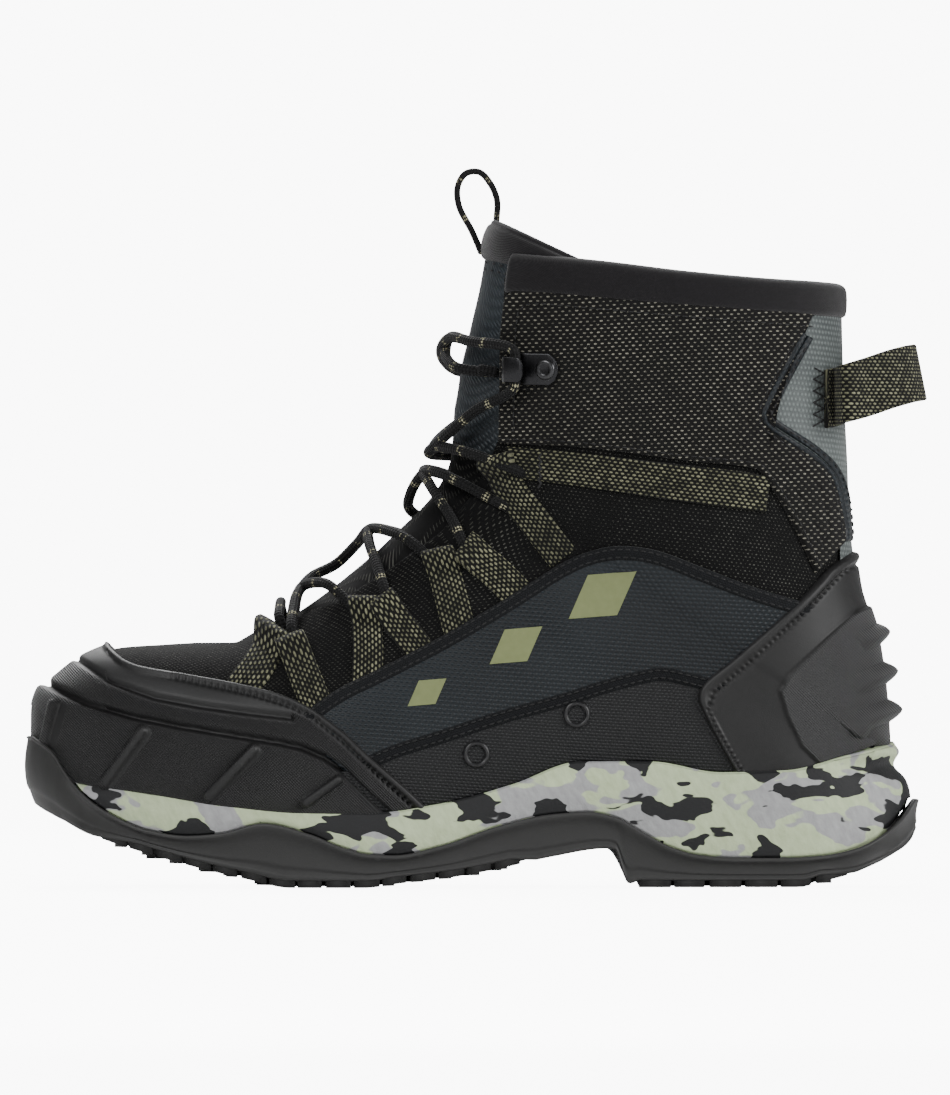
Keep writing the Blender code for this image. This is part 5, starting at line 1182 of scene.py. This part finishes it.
CUP_LINE = ((0.0, 1.33), (0.022, 1.21), (0.039, 1.03), (0.054, 0.89), (0.074, 0.75),
            (0.099, 0.63), (0.136, 0.51), (0.181, 0.46), (0.218, 0.48), (0.268, 0.57),
            (0.319, 0.48), (0.357, 0.36), (0.386, 0.30), (0.416, 0.29), (0.467, 0.37),
            (0.535, 0.55), (0.593, 0.65), (0.634, 0.67), (0.665, 0.62), (0.695, 0.49),
            (0.726, 0.36), (0.756, 0.29), (0.802, 0.26), (0.848, 0.26), (0.898, 0.28),
            (0.935, 0.34), (0.962, 0.45), (0.984, 0.60), (1.0, 0.77))
LUG_HEIGHT = 0.0024

dense = np.linspace(0.0, 17.0, 5000)
outer_side = last_point(dense, 0.0 * dense, -1.0)
inner_side = last_point(dense, 0.0 * dense, 1.0)[::-1]
closed = np.concatenate((outer_side, inner_side[1:]))
LOOP_COUNT = 1200
feather = resampled(closed, LOOP_COUNT + 1)[:-1]
for _ in range(6):
    beside = np.roll(feather[:, :2], 1, axis=0) + np.roll(feather[:, :2], -1, axis=0)
    feather[:, :2] = 0.5 * feather[:, :2] + 0.25 * beside
way = np.roll(feather[:, :2], -3, axis=0) - np.roll(feather[:, :2], 3, axis=0)
way /= np.linalg.norm(way, axis=1)[:, None]
loop_out = np.stack((way[:, 1], -way[:, 0]), axis=1)
loop_along = feather[:, 0] / SOLE_LENGTH + HEEL_CENTRE
step = np.linalg.norm(np.roll(feather, -1, axis=0) - feather, axis=1)
loop_run = np.concatenate(((0.0,), np.cumsum(step)))


def table_at(table, along):
    """A table's smooth value at shares of the sole's length."""
    table = np.asarray(table)
    return smooth_line(table[:, 0], table[:, 1], along)


def loop_ring(margin, height):
    """Ring round the boot: the feather line moved out by a margin, at a height."""
    plan = feather[:, :2] + loop_out * np.asarray(margin)[:, None]
    return np.column_stack((plan, np.broadcast_to(height, (LOOP_COUNT,))))


def ring_grid(rings):
    """Rings stacked as a closed grid, with UV of the run round the boot and the height."""
    points = np.stack(rings, axis=0)
    points = np.concatenate((points, points[:, :1]), axis=1)
    uv = np.stack((np.broadcast_to(loop_run, points.shape[:2]), points[..., 2]), axis=-1)
    return points, uv, True


full = table_at(SOLE_MARGIN, loop_along)
ledge = table_at(TOP_MARGIN, loop_along)
out_along = (feather[:, 0] + loop_out[:, 0] * full) / SOLE_LENGTH + HEEL_CENTRE
cup = SOLE_HEIGHT * table_at(CUP_LINE, out_along)
top = feather[:, 2] + 0.0002
heel = np.clip((out_along - 0.90) / 0.07, 0.0, 1.0)
heel = heel * heel * (3.0 - 2.0 * heel)
rings = []
at_toe = np.clip((0.060 - out_along) / 0.030, 0.0, 1.0)
base = full - 0.0022 - 0.0035 * at_toe
for rise, margin in ((-0.0040, base - 0.0014), (-0.0015, base - 0.0006), (0.0002, base)):
    rings.append(loop_ring(margin, np.minimum(cup + rise, top - 0.0030)))
for t in np.linspace(0.0, 1.0, 42):
    ease = t * t * (3.0 - 2.0 * t)
    margin = (full - 0.0013 - 0.0035 * at_toe) * (1.0 - ease) + (ledge - 0.0015 * at_toe) * ease
    margin = margin + 0.0010 * np.sin(math.pi * t) * (1.0 - heel) * (1.0 - at_toe)
    height = cup + 0.0006 + t * (top - 0.0010 - cup)
    margin = margin - heel * 0.0022 * np.exp(-((height - 0.0425) / 0.0028) ** 2)
    margin = margin + heel * 0.0016 * np.exp(-((height - 0.0480) / 0.0022) ** 2)
    for middle, width, depth in ((0.936, 0.0085, 0.0014), (0.972, 0.0070, 0.0012)):
        margin = margin - (depth * np.exp(-((loop_along - middle) / width) ** 2)
                           * np.sin(math.pi * min(1.0, 0.25 + t)) ** 0.5)
    rings.append(loop_ring(margin, height))
last_margin = margin
for angle in np.linspace(0.2, 0.5 * math.pi, 6):
    rings.append(loop_ring(last_margin - 0.0009 * (1.0 - math.cos(angle)),
                           top - 0.0010 + 0.0010 * math.sin(angle)))
rings.append(loop_ring(0.0 * ledge - 0.0015, top))
foam_look = Look("camo_foam_look", roughness=0.62, specular=0.35)
spot = foam_look.node("Mapping", {"Vector": foam_look.place(), "Rotation": (0.0, 0.25, 0.0),
                                  "Scale": (1.0, 0.8, 1.9)})
wavy = foam_look.node("TexNoise", {"Vector": spot, "Scale": 55.0, "Detail": 2.0}, output=1)
bent = foam_look.node("MixRGB", {0: 0.022, 1: spot, 2: wavy}, blend_type="ADD")
dark_field = foam_look.noise(bent, 50.0, 2.0, 0.50)
grey_field = foam_look.noise(foam_look.node("Mapping", {"Vector": bent, "Location": (0.37, 0.11, 0.23)}),
                             42.0, 2.0, 0.5)
streak = foam_look.noise(foam_look.node("Mapping", {"Vector": spot, "Scale": (3.0, 3.0, 0.8)}),
                         160.0, 3.0, 0.6)
green = foam_look.mix(streak, (0.36, 0.44, 0.25), (0.62, 0.71, 0.48))
grey = foam_look.mix(streak, (0.24, 0.242, 0.245), (0.46, 0.465, 0.47))
paint = foam_look.mix(foam_look.ramp(grey_field, (0.515, 0.0), (0.530, 1.0)), green, grey)
paint = foam_look.mix(foam_look.ramp(dark_field, (0.557, 0.0), (0.563, 1.0)), paint, (0.013, 0.0135, 0.0145))
camo_foam = foam_look.finish(paint, foam_look.noise(foam_look.place(), 900.0, 3.0), 0.00018)
mesh_piece("midsole_foam", [ring_grid(rings)], camo_foam, ("midsole",))

# Outsole: black rubber cup with a thin proud lip along its wavy edge, a side wall that bows
# in below it, and blocky lugs under the forefoot and the heel.


def underside(margin):
    """Height of the sole between its lugs, on the ring at a margin from the feather line."""
    along = (feather[:, 0] + loop_out[:, 0] * margin) / SOLE_LENGTH + HEEL_CENTRE
    lugged = np.interp(along, (0.075, 0.125, 0.545, 0.575, 0.672, 0.690, 0.895, 0.935),
                       (0.0, 1.0, 1.0, 0.0, 0.0, 1.0, 1.0, 0.0))
    return SOLE_HEIGHT * table_at(TREAD_LINE, along) + LUG_HEIGHT * lugged


low_tread = underside(full - 0.0016)
rings = [loop_ring(full - inset - 0.0028 * at_toe, underside(full - inset) + rise)
         for inset, rise in ((0.0110, 0.0), (0.0085, 0.0), (0.0060, 0.0), (0.0038, 0.0), (0.0030, 0.0),
                             (0.0022, 0.0002), (0.0016, 0.0007))]
side_height = np.maximum(cup - low_tread, 0.004)
for t in np.linspace(0.08, 1.0, 30):
    bow = (-0.0008 * np.sin(math.pi * t)
           + 0.0011 * np.exp(-((1.0 - t) / 0.16) ** 2) * (1.0 - heel) * (1.0 - at_toe))
    step_in = -0.0006 * (1.0 / (1.0 + np.exp((t - 0.24) * 60.0)))
    bow = bow + at_toe * (0.0016 * math.sin(math.pi * t) - 0.0006 * t ** 3 - 0.0026 * (1.0 - t) ** 3)
    rings.append(loop_ring(full - 0.0012 + 0.0027 * heel + bow + step_in,
                           low_tread + 0.0006 + (side_height - 0.0016) * t))
for angle in np.linspace(0.3, math.pi, 9):
    rings.append(loop_ring(full - 0.0009 + 0.0018 * heel - 0.0012 * at_toe + 0.0008 * math.cos(angle),
                           cup - 0.0008 + 0.0009 * math.sin(angle)))
rings.append(loop_ring(full - 0.0020, cup - 0.0030))
rings.append(loop_ring(full - 0.0026, np.maximum(cup - 0.008, low_tread + 0.002)))
sole_rubber = rubber("sole_rubber_look", (0.0195, 0.0195, 0.0192), roughness=0.52)
grids = [ring_grid(rings)]
half = LOOP_COUNT // 2


def across_ring(ring, turned):
    """Surface across a closed ring: straight rows from its outer side to its inner side."""
    w = np.linspace(0.0, 1.0, 12)[None, :, None]
    first_side, other_side = ring[1:half], ring[:half:-1]
    surface = first_side[:, None, :] * (1.0 - w) + other_side[:len(first_side), None, :] * w
    return surface, surface[..., :2], turned


grids.append(across_ring(rings[0], True))

LUG_ROWS = (
    # first, last, count, across from, across to (shares of the half width, outer side < 0)
    (0.085, 0.560, 15, -1.0, -0.60),
    (0.085, 0.560, 15, 0.60, 1.0),
    (0.105, 0.545, 7, -0.42, -0.08),
    (0.130, 0.570, 7, 0.08, 0.42),
    (0.690, 0.930, 6, -1.0, -0.55),
    (0.690, 0.930, 6, 0.55, 1.0),
    (0.690, 0.905, 3, -0.36, 0.36),
)
plan = feather[:, :2] + loop_out * (full - 0.0024)[:, None]
lateral_edge, medial_edge = plan[:half + 1], np.vstack((plan[half:], plan[:1]))[::-1]
lateral_edge = lateral_edge[np.argsort(lateral_edge[:, 0])]
medial_edge = medial_edge[np.argsort(medial_edge[:, 0])]
for first, last, count, near, far in LUG_ROWS:
    pitch = (last - first) / count
    for n in range(count):
        fill = (0.92, 0.86, 0.90)[n % 3]
        ends = x_at(np.array((first + pitch * n, first + pitch * (n + fill))))
        xs = np.linspace(ends[0], ends[1], 5)
        low_y = np.interp(xs, lateral_edge[:, 0], lateral_edge[:, 1])
        high_y = np.interp(xs, medial_edge[:, 0], medial_edge[:, 1])
        middle, reach = 0.5 * (low_y + high_y), 0.5 * (high_y - low_y)
        near_line = np.stack((xs, middle + near * reach), axis=1)
        far_line = np.stack((xs, middle + far * reach), axis=1)[::-1]
        loop = np.vstack((near_line, far_line, near_line[:1]))
        centre = loop[:-1].mean(axis=0)
        ground = SOLE_HEIGHT * table_at(TREAD_LINE, loop[:, 0] / SOLE_LENGTH + HEEL_CENTRE)
        body = []
        for inset, rise in ((0.0, LUG_HEIGHT + 0.0006), (0.0, 0.0006), (0.0004, 0.0), (0.5, 0.0), (1.0, 0.0)):
            way_in = centre - loop
            size = np.linalg.norm(way_in, axis=1)[:, None]
            moved = loop + (way_in * inset if inset >= 0.5 else way_in / size * inset)
            body.append(np.column_stack((moved, ground + rise)))
        body = np.stack(body, axis=0)
        grids.append((body, body[..., :2], far > near))
mesh_piece("lugged_sole", grids, sole_rubber, ("outsole",))

# Insole: a footbed covered with grey cloth, lying loose inside the upper and seen only down
# the shaft.
insole_weave = weave("insole_look", (0.0012, 0.0010), (0.020, 0.021, 0.022), (0.05, 0.05, 0.052),
                     (0.0004, 0.0004))
rings = []
inside = -WALL - 0.0022
for extra, rise in ((-0.0002, -0.0002), (0.0, 0.0010), (-0.0003, 0.0034), (-0.0012, 0.0040)):
    rings.append(loop_ring(0.0 * full + inside + extra, feather[:, 2] + rise))
grids = [ring_grid(rings), across_ring(rings[-1], False)]
mesh_piece("footbed", grids, insole_weave, ("insole",))

# Lace keepers: short lengths of the olive webbing folded round the lace and sewn down beside
# the throat, two legs each, tucked under the side panels and the ankle band.
KEEPER_LEGS = (
    (((0.238, 0.170), (0.260, 0.215), (0.284, 0.290)), ((0.331, 0.130), (0.316, 0.195), (0.300, 0.268))),
    (((0.384, 0.178), (0.386, 0.255), (0.384, 0.352)), ((0.446, 0.250), (0.424, 0.300), (0.402, 0.352))),
    (((0.490, 0.285), (0.478, 0.370), (0.466, 0.452)), ((0.556, 0.365), (0.528, 0.415), (0.495, 0.462))),
    (((0.606, 0.440), (0.572, 0.520), (0.545, 0.585), (0.533, 0.655)),),
)
LEG_WIDTHS = (0.0112, 0.0106, 0.0116, 0.0112)
keeper_grids = []
for side in SIDES:
    for legs, width in zip(KEEPER_LEGS, LEG_WIDTHS):
        for number, leg in enumerate(legs):
            line = rounded(leg)

            def fold(run, across, total):
                """The band rises towards its top end, where it is folded round the lace."""
                top = np.clip((run - (total - 0.0090)) / 0.0090, 0.0, 1.0)
                low = np.clip(1.0 - run / 0.0060, 0.0, 1.0)
                return 0.0046 * np.sin(0.72 * math.pi * top) ** 2 + 0.0004 * number - 0.0011 * low

            keeper_grids.append(strip_patch(line, width, side, 0.0012, rows=22, cols=90, relief=fold,
                                            crown=0.0002))
keeper_nodes = ["lace_keeper_%s_%d" % (word, n) for word in ("lateral", "medial") for n in (1, 2, 3, 4)]
mesh_piece("lace_keepers", keeper_grids, olive_webbing, keeper_nodes)

# Lace hooks: one stamped black hook a side, riveted to the cuff, its claw open to the back.
GAP, CUFF_THICKNESS, LACE_DIAMETER = 0.00035, 0.0016, 0.0038
HOOK_CENTRE = (0.578, 0.829)
metal_look = Look("black_metal_look", roughness=0.26, metallic=0.9, specular=0.6, coat=0.4)
scuff = metal_look.noise(metal_look.place(), 1400.0, 3.0)
edge_wear = metal_look.ramp(metal_look.node("NewGeometry", output=7), (0.52, 0.0), (0.62, 1.0))
enamel = metal_look.mix(edge_wear, (0.018, 0.018, 0.020), (0.16, 0.16, 0.165))
dullness = metal_look.math("ADD", 0.20, metal_look.math("MULTIPLY", scuff, 0.18))
black_metal = metal_look.finish(enamel, scuff, 0.00003, dullness)


def capped(points):
    """A tube's grid closed by drawing its first and last rings to their middles."""
    caps = [np.repeat(points[k].mean(axis=0)[None, :], points.shape[1], axis=0) for k in (0, -1)]
    return np.concatenate((caps[0][None], points, caps[1][None]), axis=0)


def hook_axes(side):
    """Place of a hook on the cuff and its ways forward, up and out of the face."""
    s, g = station_girth(np.array([x_at(HOOK_CENTRE[0])]), np.array([z_at(HOOK_CENTRE[1])]))
    lift = 2 * GAP + CUFF_THICKNESS + 0.0003
    place, above = place_on(s, g, side, 0.0 * s + lift)[0], place_on(s, g, side, 0.0 * s + lift + 0.001)[0]
    out = (above - place) * 1000.0
    forward = np.array((-1.0, 0.0, 0.0)) - out * -out[0]
    forward /= np.linalg.norm(forward)
    up = np.cross(out, forward)
    return place, forward, up if up[2] > 0.0 else -up, out


grids = []
for side in SIDES:
    place, forward, up, out = hook_axes(side)
    half, metal = 0.0085, 0.0010
    path = np.array(((-half, 0.0), (-0.5 * half, 0.0), (0.4 * half, 0.0), (half, 0.0),
                     (half + 0.0012, 0.0003), (half + 0.0024, 0.0014), (half + 0.0030, 0.0032),
                     (half + 0.0026, 0.0052), (half + 0.0014, 0.0068), (half - 0.0006, 0.0076),
                     (half - 0.0030, 0.0078), (half - 0.0062, 0.0080)))
    path = resampled(path, 60)
    way = np.gradient(path, axis=0)
    way /= np.linalg.norm(way, axis=1)[:, None]
    left = np.stack((-way[:, 1], way[:, 0]), axis=1)
    run = np.linspace(0.0, 1.0, 60)
    wide = np.interp(run, (0.0, 0.03, 0.10, 0.40, 0.52, 0.95, 0.985, 1.0),
                     (0.0012, 0.0040, 0.0058, 0.0058, 0.0046, 0.0046, 0.0036, 0.0020))
    ring = []
    for across, height in ((-1.0, 0.5), (-0.97, 0.85), (-0.90, 1.0), (0.90, 1.0), (0.97, 0.85), (1.0, 0.5),
                           (0.97, 0.15), (0.90, 0.0), (-0.90, 0.0), (-0.97, 0.15), (-1.0, 0.5)):
        flat = path + left * metal * height
        ring.append(place + flat[:, :1] * forward + flat[:, 1:] * out + (wide * across)[:, None] * up)
    points = capped(np.stack(ring, axis=1))
    grids.append((points, points[..., ::2], side > 0))
    centre = place - forward * 0.0038
    q = np.linspace(0.0, 2.0 * math.pi, 33)
    rivet = [centre + out * h + r * (np.cos(q)[:, None] * forward + np.sin(q)[:, None] * up)
             for r, h in ((0.0037, 0.0009), (0.0037, 0.0013), (0.0035, 0.0017), (0.0029, 0.0020),
                          (0.0022, 0.0021), (0.0019, 0.0019), (0.0016, 0.0018), (0.00001, 0.0018))]
    rivet = np.stack(rivet, axis=0)
    grids.append((rivet, rivet[..., ::2], side > 0))
mesh_piece("lace_hooks", grids, black_metal, ("lace_hook_lateral", "lace_hook_medial"))

# Lace: round braided cord, black with pale flecks, laid through the keepers and over the
# hooks, and tied off inside the boot.
cord_look = Look("lace_look", roughness=0.75, sheen=0.04, specular=0.25)
u, v = cord_look.split(cord_look.uv((1.0, 1.0)))
tau = 2.0 * math.pi
one = cord_look.math("ADD", cord_look.math("MULTIPLY", u, tau / 0.0026),
                     cord_look.math("MULTIPLY", v, tau * 5.0))
two = cord_look.math("SUBTRACT", cord_look.math("MULTIPLY", u, tau / 0.0026),
                     cord_look.math("MULTIPLY", v, tau * 5.0))
braid = cord_look.math("MULTIPLY", cord_look.math("SINE", one), cord_look.math("SINE", two))
tile = cord_look.node("CombineXYZ", {0: cord_look.math("FLOOR", cord_look.math("DIVIDE", u, 0.0013)),
                                     1: cord_look.math("FLOOR", cord_look.math("MULTIPLY", v, 10.0))})
chance = cord_look.node("TexWhiteNoise", {"Vector": tile}, noise_dimensions="3D")
fleck_at = cord_look.math("FRACT", cord_look.math("DIVIDE", u, 0.0135))
band = cord_look.ramp(fleck_at, (0.16, 1.0), (0.20, 0.0))
fleck = cord_look.math("MULTIPLY", band, cord_look.ramp(chance, (0.52, 0.0), (0.56, 1.0)))
fleck = cord_look.math("MULTIPLY", fleck, cord_look.ramp(braid, (0.05, 0.0), (0.2, 1.0)))
yarn = cord_look.mix(cord_look.ramp(braid, (0.0, 0.0), (0.9, 1.0)), (0.0030, 0.0030, 0.0033),
                     (0.0110, 0.0110, 0.0112))
lace_cord = cord_look.finish(cord_look.mix(fleck, yarn, (0.42, 0.40, 0.26)), braid, 0.00025)


def spline(points, count_each=16):
    """Catmull-Rom curve through chosen places, with centripetal knots."""
    points = np.asarray(points, float)
    padded = np.vstack((2 * points[0] - points[1], points, 2 * points[-1] - points[-2]))
    parts = []
    for p0, p1, p2, p3 in zip(padded[:-3], padded[1:-2], padded[2:-1], padded[3:]):
        k1 = np.sqrt(np.linalg.norm(p1 - p0))
        k2 = k1 + np.sqrt(np.linalg.norm(p2 - p1))
        k3 = k2 + np.sqrt(np.linalg.norm(p3 - p2))
        t = np.linspace(k1, k2, count_each, endpoint=False)[:, None]
        a1, a2 = (k1 - t) / k1 * p0 + t / k1 * p1, (k2 - t) / (k2 - k1) * p1 + (t - k1) / (k2 - k1) * p2
        a3 = (k3 - t) / (k3 - k2) * p2 + (t - k2) / (k3 - k2) * p3
        b1, b2 = (k2 - t) / k2 * a1 + t / k2 * a2, (k3 - t) / (k3 - k1) * a2 + (t - k1) / (k3 - k1) * a3
        parts.append((k2 - t) / (k2 - k1) * b1 + (t - k1) / (k2 - k1) * b2)
    return np.vstack(parts + [points[-1:]])


def cord_grid(points, radius, spokes=20, gap=0.0006):
    """Round cord along a curve: rings r (cos q n + sin q b) on axes carried along without twist."""
    total = np.linalg.norm(np.diff(points, axis=0), axis=1).sum()
    line = resampled(points, max(8, int(total / gap)))
    way = np.gradient(line, axis=0)
    way /= np.linalg.norm(way, axis=1)[:, None]
    normal = np.cross(way[0], (0.3, 0.2, 1.0))
    normals = []
    for direction in way:
        normal = normal - direction * np.dot(normal, direction)
        normal = normal / np.linalg.norm(normal)
        normals.append(normal)
    normals = np.array(normals)
    beside = np.cross(way, normals)
    q = np.linspace(0.0, 2.0 * math.pi, spokes + 1)
    ring = np.cos(q)[None, :, None] * normals[:, None, :] + np.sin(q)[None, :, None] * beside[:, None, :]
    run = np.linspace(0.0, total, len(line))
    taper = np.sqrt(np.clip(1.0 - (1.0 - np.clip(np.minimum(run, total - run) / radius, 0.0, 1.0)) ** 2,
                            1e-4, 1.0))
    body = line[:, None, :] + radius * taper[:, None, None] * ring
    uv = np.stack(np.broadcast_arrays(run[:, None], q[None, :] / (2 * math.pi)), axis=-1)
    return body, uv, False


def face_place(station, across, lift):
    """Point over the boot's face; across runs from the outer side (-) over the ridge (0)."""
    side = -1.0 if across <= 0.0 else 1.0
    return place_on(np.array([station]), np.array([1.0 - abs(across)]), side, np.array([lift]))[0]


def hook_point(side, rise):
    """Place of the lace's middle in a hook's bend, at a rise from the hook's middle."""
    place, forward, up, out = hook_axes(side)
    inside = 0.0010 + 0.5 * LACE_DIAMETER + 2 * GAP
    return place + forward * 0.0071 + up * rise + out * inside


LACE_STRANDS = {
    "lace_bar": (
        ((7.30, -0.132, 0.0040), (7.36, -0.08, 0.0042), (7.42, 0.0, 0.0044), (7.36, 0.08, 0.0042),
         (7.30, 0.132, 0.0040)),
    ),
    "lace_crossing_low": (
        ((7.50, -0.190, 0.0038), (7.62, -0.13, 0.0040), (7.80, -0.06, 0.0043), (8.00, 0.0, 0.0048),
         (8.35, 0.06, 0.0070), (9.00, 0.11, 0.0088), (9.70, 0.09, 0.0082), (10.30, 0.0, 0.0055),
         (10.70, -0.10, 0.0043), (11.00, -0.17, 0.0040), (11.30, -0.235, 0.0038)),
        ((7.50, 0.190, 0.0038), (7.62, 0.13, 0.0040), (7.80, 0.06, 0.0043), (8.00, 0.0, 0.0048),
         (8.35, -0.07, 0.0046), (8.60, -0.12, 0.0042), (8.97, -0.190, 0.0038)),
        ((9.72, -0.240, 0.0038), (9.88, -0.17, 0.0040), (10.05, -0.08, 0.0044),
         (10.30, 0.0, 0.0055), (10.70, 0.10, 0.0046), (11.00, 0.16, 0.0041),
         (11.30, 0.235, 0.0038)),
    ),
    "lace_crossing_mid": (
        ((12.30, -0.255, 0.0038), (12.75, -0.19, 0.0040), (13.30, -0.10, 0.0044),
         (13.90, 0.0, 0.0055), (14.50, 0.09, 0.0046), (14.90, 0.15, 0.0041),
         (15.30, 0.225, 0.0038)),
        ((12.30, 0.255, 0.0038), (11.95, 0.17, 0.0044), (11.75, 0.09, 0.0046),
         (12.20, 0.03, 0.0046), (13.10, 0.0, 0.0056), (13.90, -0.03, 0.0052),
         (14.50, -0.09, 0.0046), (14.90, -0.15, 0.0041), (15.30, -0.225, 0.0038)),
    ),
    "lace_crossing_high": (
        ((18.10, -0.248, 0.0038), (17.70, -0.17, 0.0041), (17.00, -0.08, 0.0044),
         (16.45, 0.0, 0.0048), (17.30, 0.06, 0.0046), (18.50, 0.12, 0.0044),
         (19.80, 0.190, 0.0043), "medial hook", (22.15, 0.17, 0.0050), (22.10, 0.07, 0.0050),
         (21.70, 0.0, 0.0050), (21.25, -0.07, 0.0048), (21.08, -0.14, 0.0044),
         (21.30, -0.190, 0.0044)),
        ((18.10, 0.248, 0.0038), (17.40, 0.17, 0.0043), (16.40, 0.10, 0.0050),
         (15.75, 0.03, 0.0052), (16.00, -0.01, 0.0062), (17.00, -0.06, 0.0052),
         (18.30, -0.12, 0.0046), (19.80, -0.190, 0.0043), "lateral hook",
         (22.12, -0.17, 0.0052), (22.02, -0.07, 0.0054), (21.55, 0.0, 0.0064),
         (21.18, 0.07, 0.0056), (21.02, 0.14, 0.0046), (21.26, 0.190, 0.0044)),
    ),
}
TUCKED_END = 0.026
grids = []
for strands in LACE_STRANDS.values():
    for strand in strands:
        points = []
        for place in strand:
            if isinstance(place, str):
                side = OUTER if place.startswith("lateral") else INNER
                points += [hook_point(side, rise) for rise in (-0.0065, 0.0, 0.0065)]
            else:
                points.append(face_place(*place))
        for end, place in ((0, strand[0]), (len(points), strand[-1])):
            tucked = place[1] + math.copysign(TUCKED_END, place[1])
            points.insert(end, face_place(place[0], tucked, -0.0008))
        grids.append(cord_grid(spline(points), 0.5 * LACE_DIAMETER))
mesh_piece("lace", grids, lace_cord, tuple(LACE_STRANDS))

# Pull loop at the tongue: a thinner cord of the same braid, its two ends sewn in behind the
# tongue's top.
TONGUE_LOOP_DIAMETER = 0.0023
TONGUE_LOOP = ((0.5140, 1.065, -0.030), (0.5030, 1.112, -0.034), (0.488, 1.165, -0.028),
               (0.4865, 1.205, -0.014), (0.4955, 1.232, 0.0), (0.511, 1.235, 0.012),
               (0.524, 1.210, 0.020), (0.5310, 1.178, 0.024), (0.5305, 1.140, 0.026), (0.5285, 1.106, 0.030))
points = np.array([(float(x_at(a)), share * UPPER_WIDTH, float(z_at(u))) for a, u, share in TONGUE_LOOP])
loop_cord = cord_grid(spline(points), 0.5 * TONGUE_LOOP_DIAMETER, spokes=16, gap=0.0004)
mesh_piece("tongue_loop", [loop_cord], lace_cord, ("tongue_pull_loop",))

# Heel pull loop: a wide olive band, sewn flat to the gore on both sides with a zigzag seam and
# standing off behind.
STRAP_SEWN = ((0.897, 0.768), (0.906, 0.771))
STRAP_THICKNESS, STRAP_SEWN_HALF, STRAP_LEAN = 0.0018, 0.0105, 0.20
STRAP_FREE = ((0.925, 0.780, 0.330, 0.0104), (0.950, 0.793, 0.275, 0.0104),
              (0.976, 0.809, 0.220, 0.0102), (0.998, 0.820, 0.140, 0.0100),
              (1.0075, 0.823, 0.060, 0.0100), (1.009, 0.824, 0.0, 0.0100))
middle = []
for along, up in STRAP_SEWN:
    s, g = station_girth(np.array([x_at(along)]), np.array([z_at(up)]))
    spot = place_on(s, g, -1.0, np.array([0.0022]))[0]
    middle.append((spot[0], spot[1], spot[2], STRAP_SEWN_HALF))
for along, up, share, tall in STRAP_FREE:
    middle.append((float(x_at(along)), -share * UPPER_WIDTH, float(z_at(up)), tall))
middle += [(x, -y, z, tall) for x, y, z, tall in middle[-2::-1]]
middle = resampled(spline(np.array(middle)), 160)
way = np.gradient(middle[:, :2], axis=0)
way /= np.linalg.norm(way, axis=1)[:, None]
normal = np.stack((-way[:, 1], way[:, 0]), axis=1)
lean = STRAP_LEAN * np.clip((middle[:, 0] - x_at(0.906)) / (x_at(0.996) - x_at(0.906)), 0.0, 1.0)
face = [(a, 1.0) for a in np.linspace(-0.9, 0.9, 13)]
outline = [(-1.0, 0.0), (-0.985, 0.7), (-0.95, 1.0), *face, (0.95, 1.0), (0.985, 0.7)]
outline += [(-across, -thick) for across, thick in outline] + outline[:1]
ring = []
for across, thick in outline:
    plan = middle[:, :2] + normal * (0.5 * STRAP_THICKNESS) * thick
    plan[:, 0] -= lean * across * middle[:, 3]
    ring.append(np.column_stack((plan, middle[:, 2] + across * middle[:, 3])))
points = np.stack(ring, axis=1)
run = np.linspace(0.0, np.linalg.norm(np.diff(middle[:, :3], axis=0), axis=1).sum(), len(middle))
uv = np.stack((np.repeat(run[:, None], points.shape[1], axis=1), points[..., 2]), axis=-1)
points = capped(points)
uv = np.concatenate((uv[:1], uv, uv[-1:]), axis=0)
mesh_piece("heel_band", [(points, uv, True)], olive_webbing, ("heel_pull_loop",))
tack = zigzag((0.885, 0.712), 0.012, 0.0120, 10)
stitches("strap_tack", [(leg, side) for leg in tack for side in SIDES], 0.0013, black_thread, pitch=0.0014,
         length=0.0020, radius=0.00035)

# Bounds of the shown object.
low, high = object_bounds()
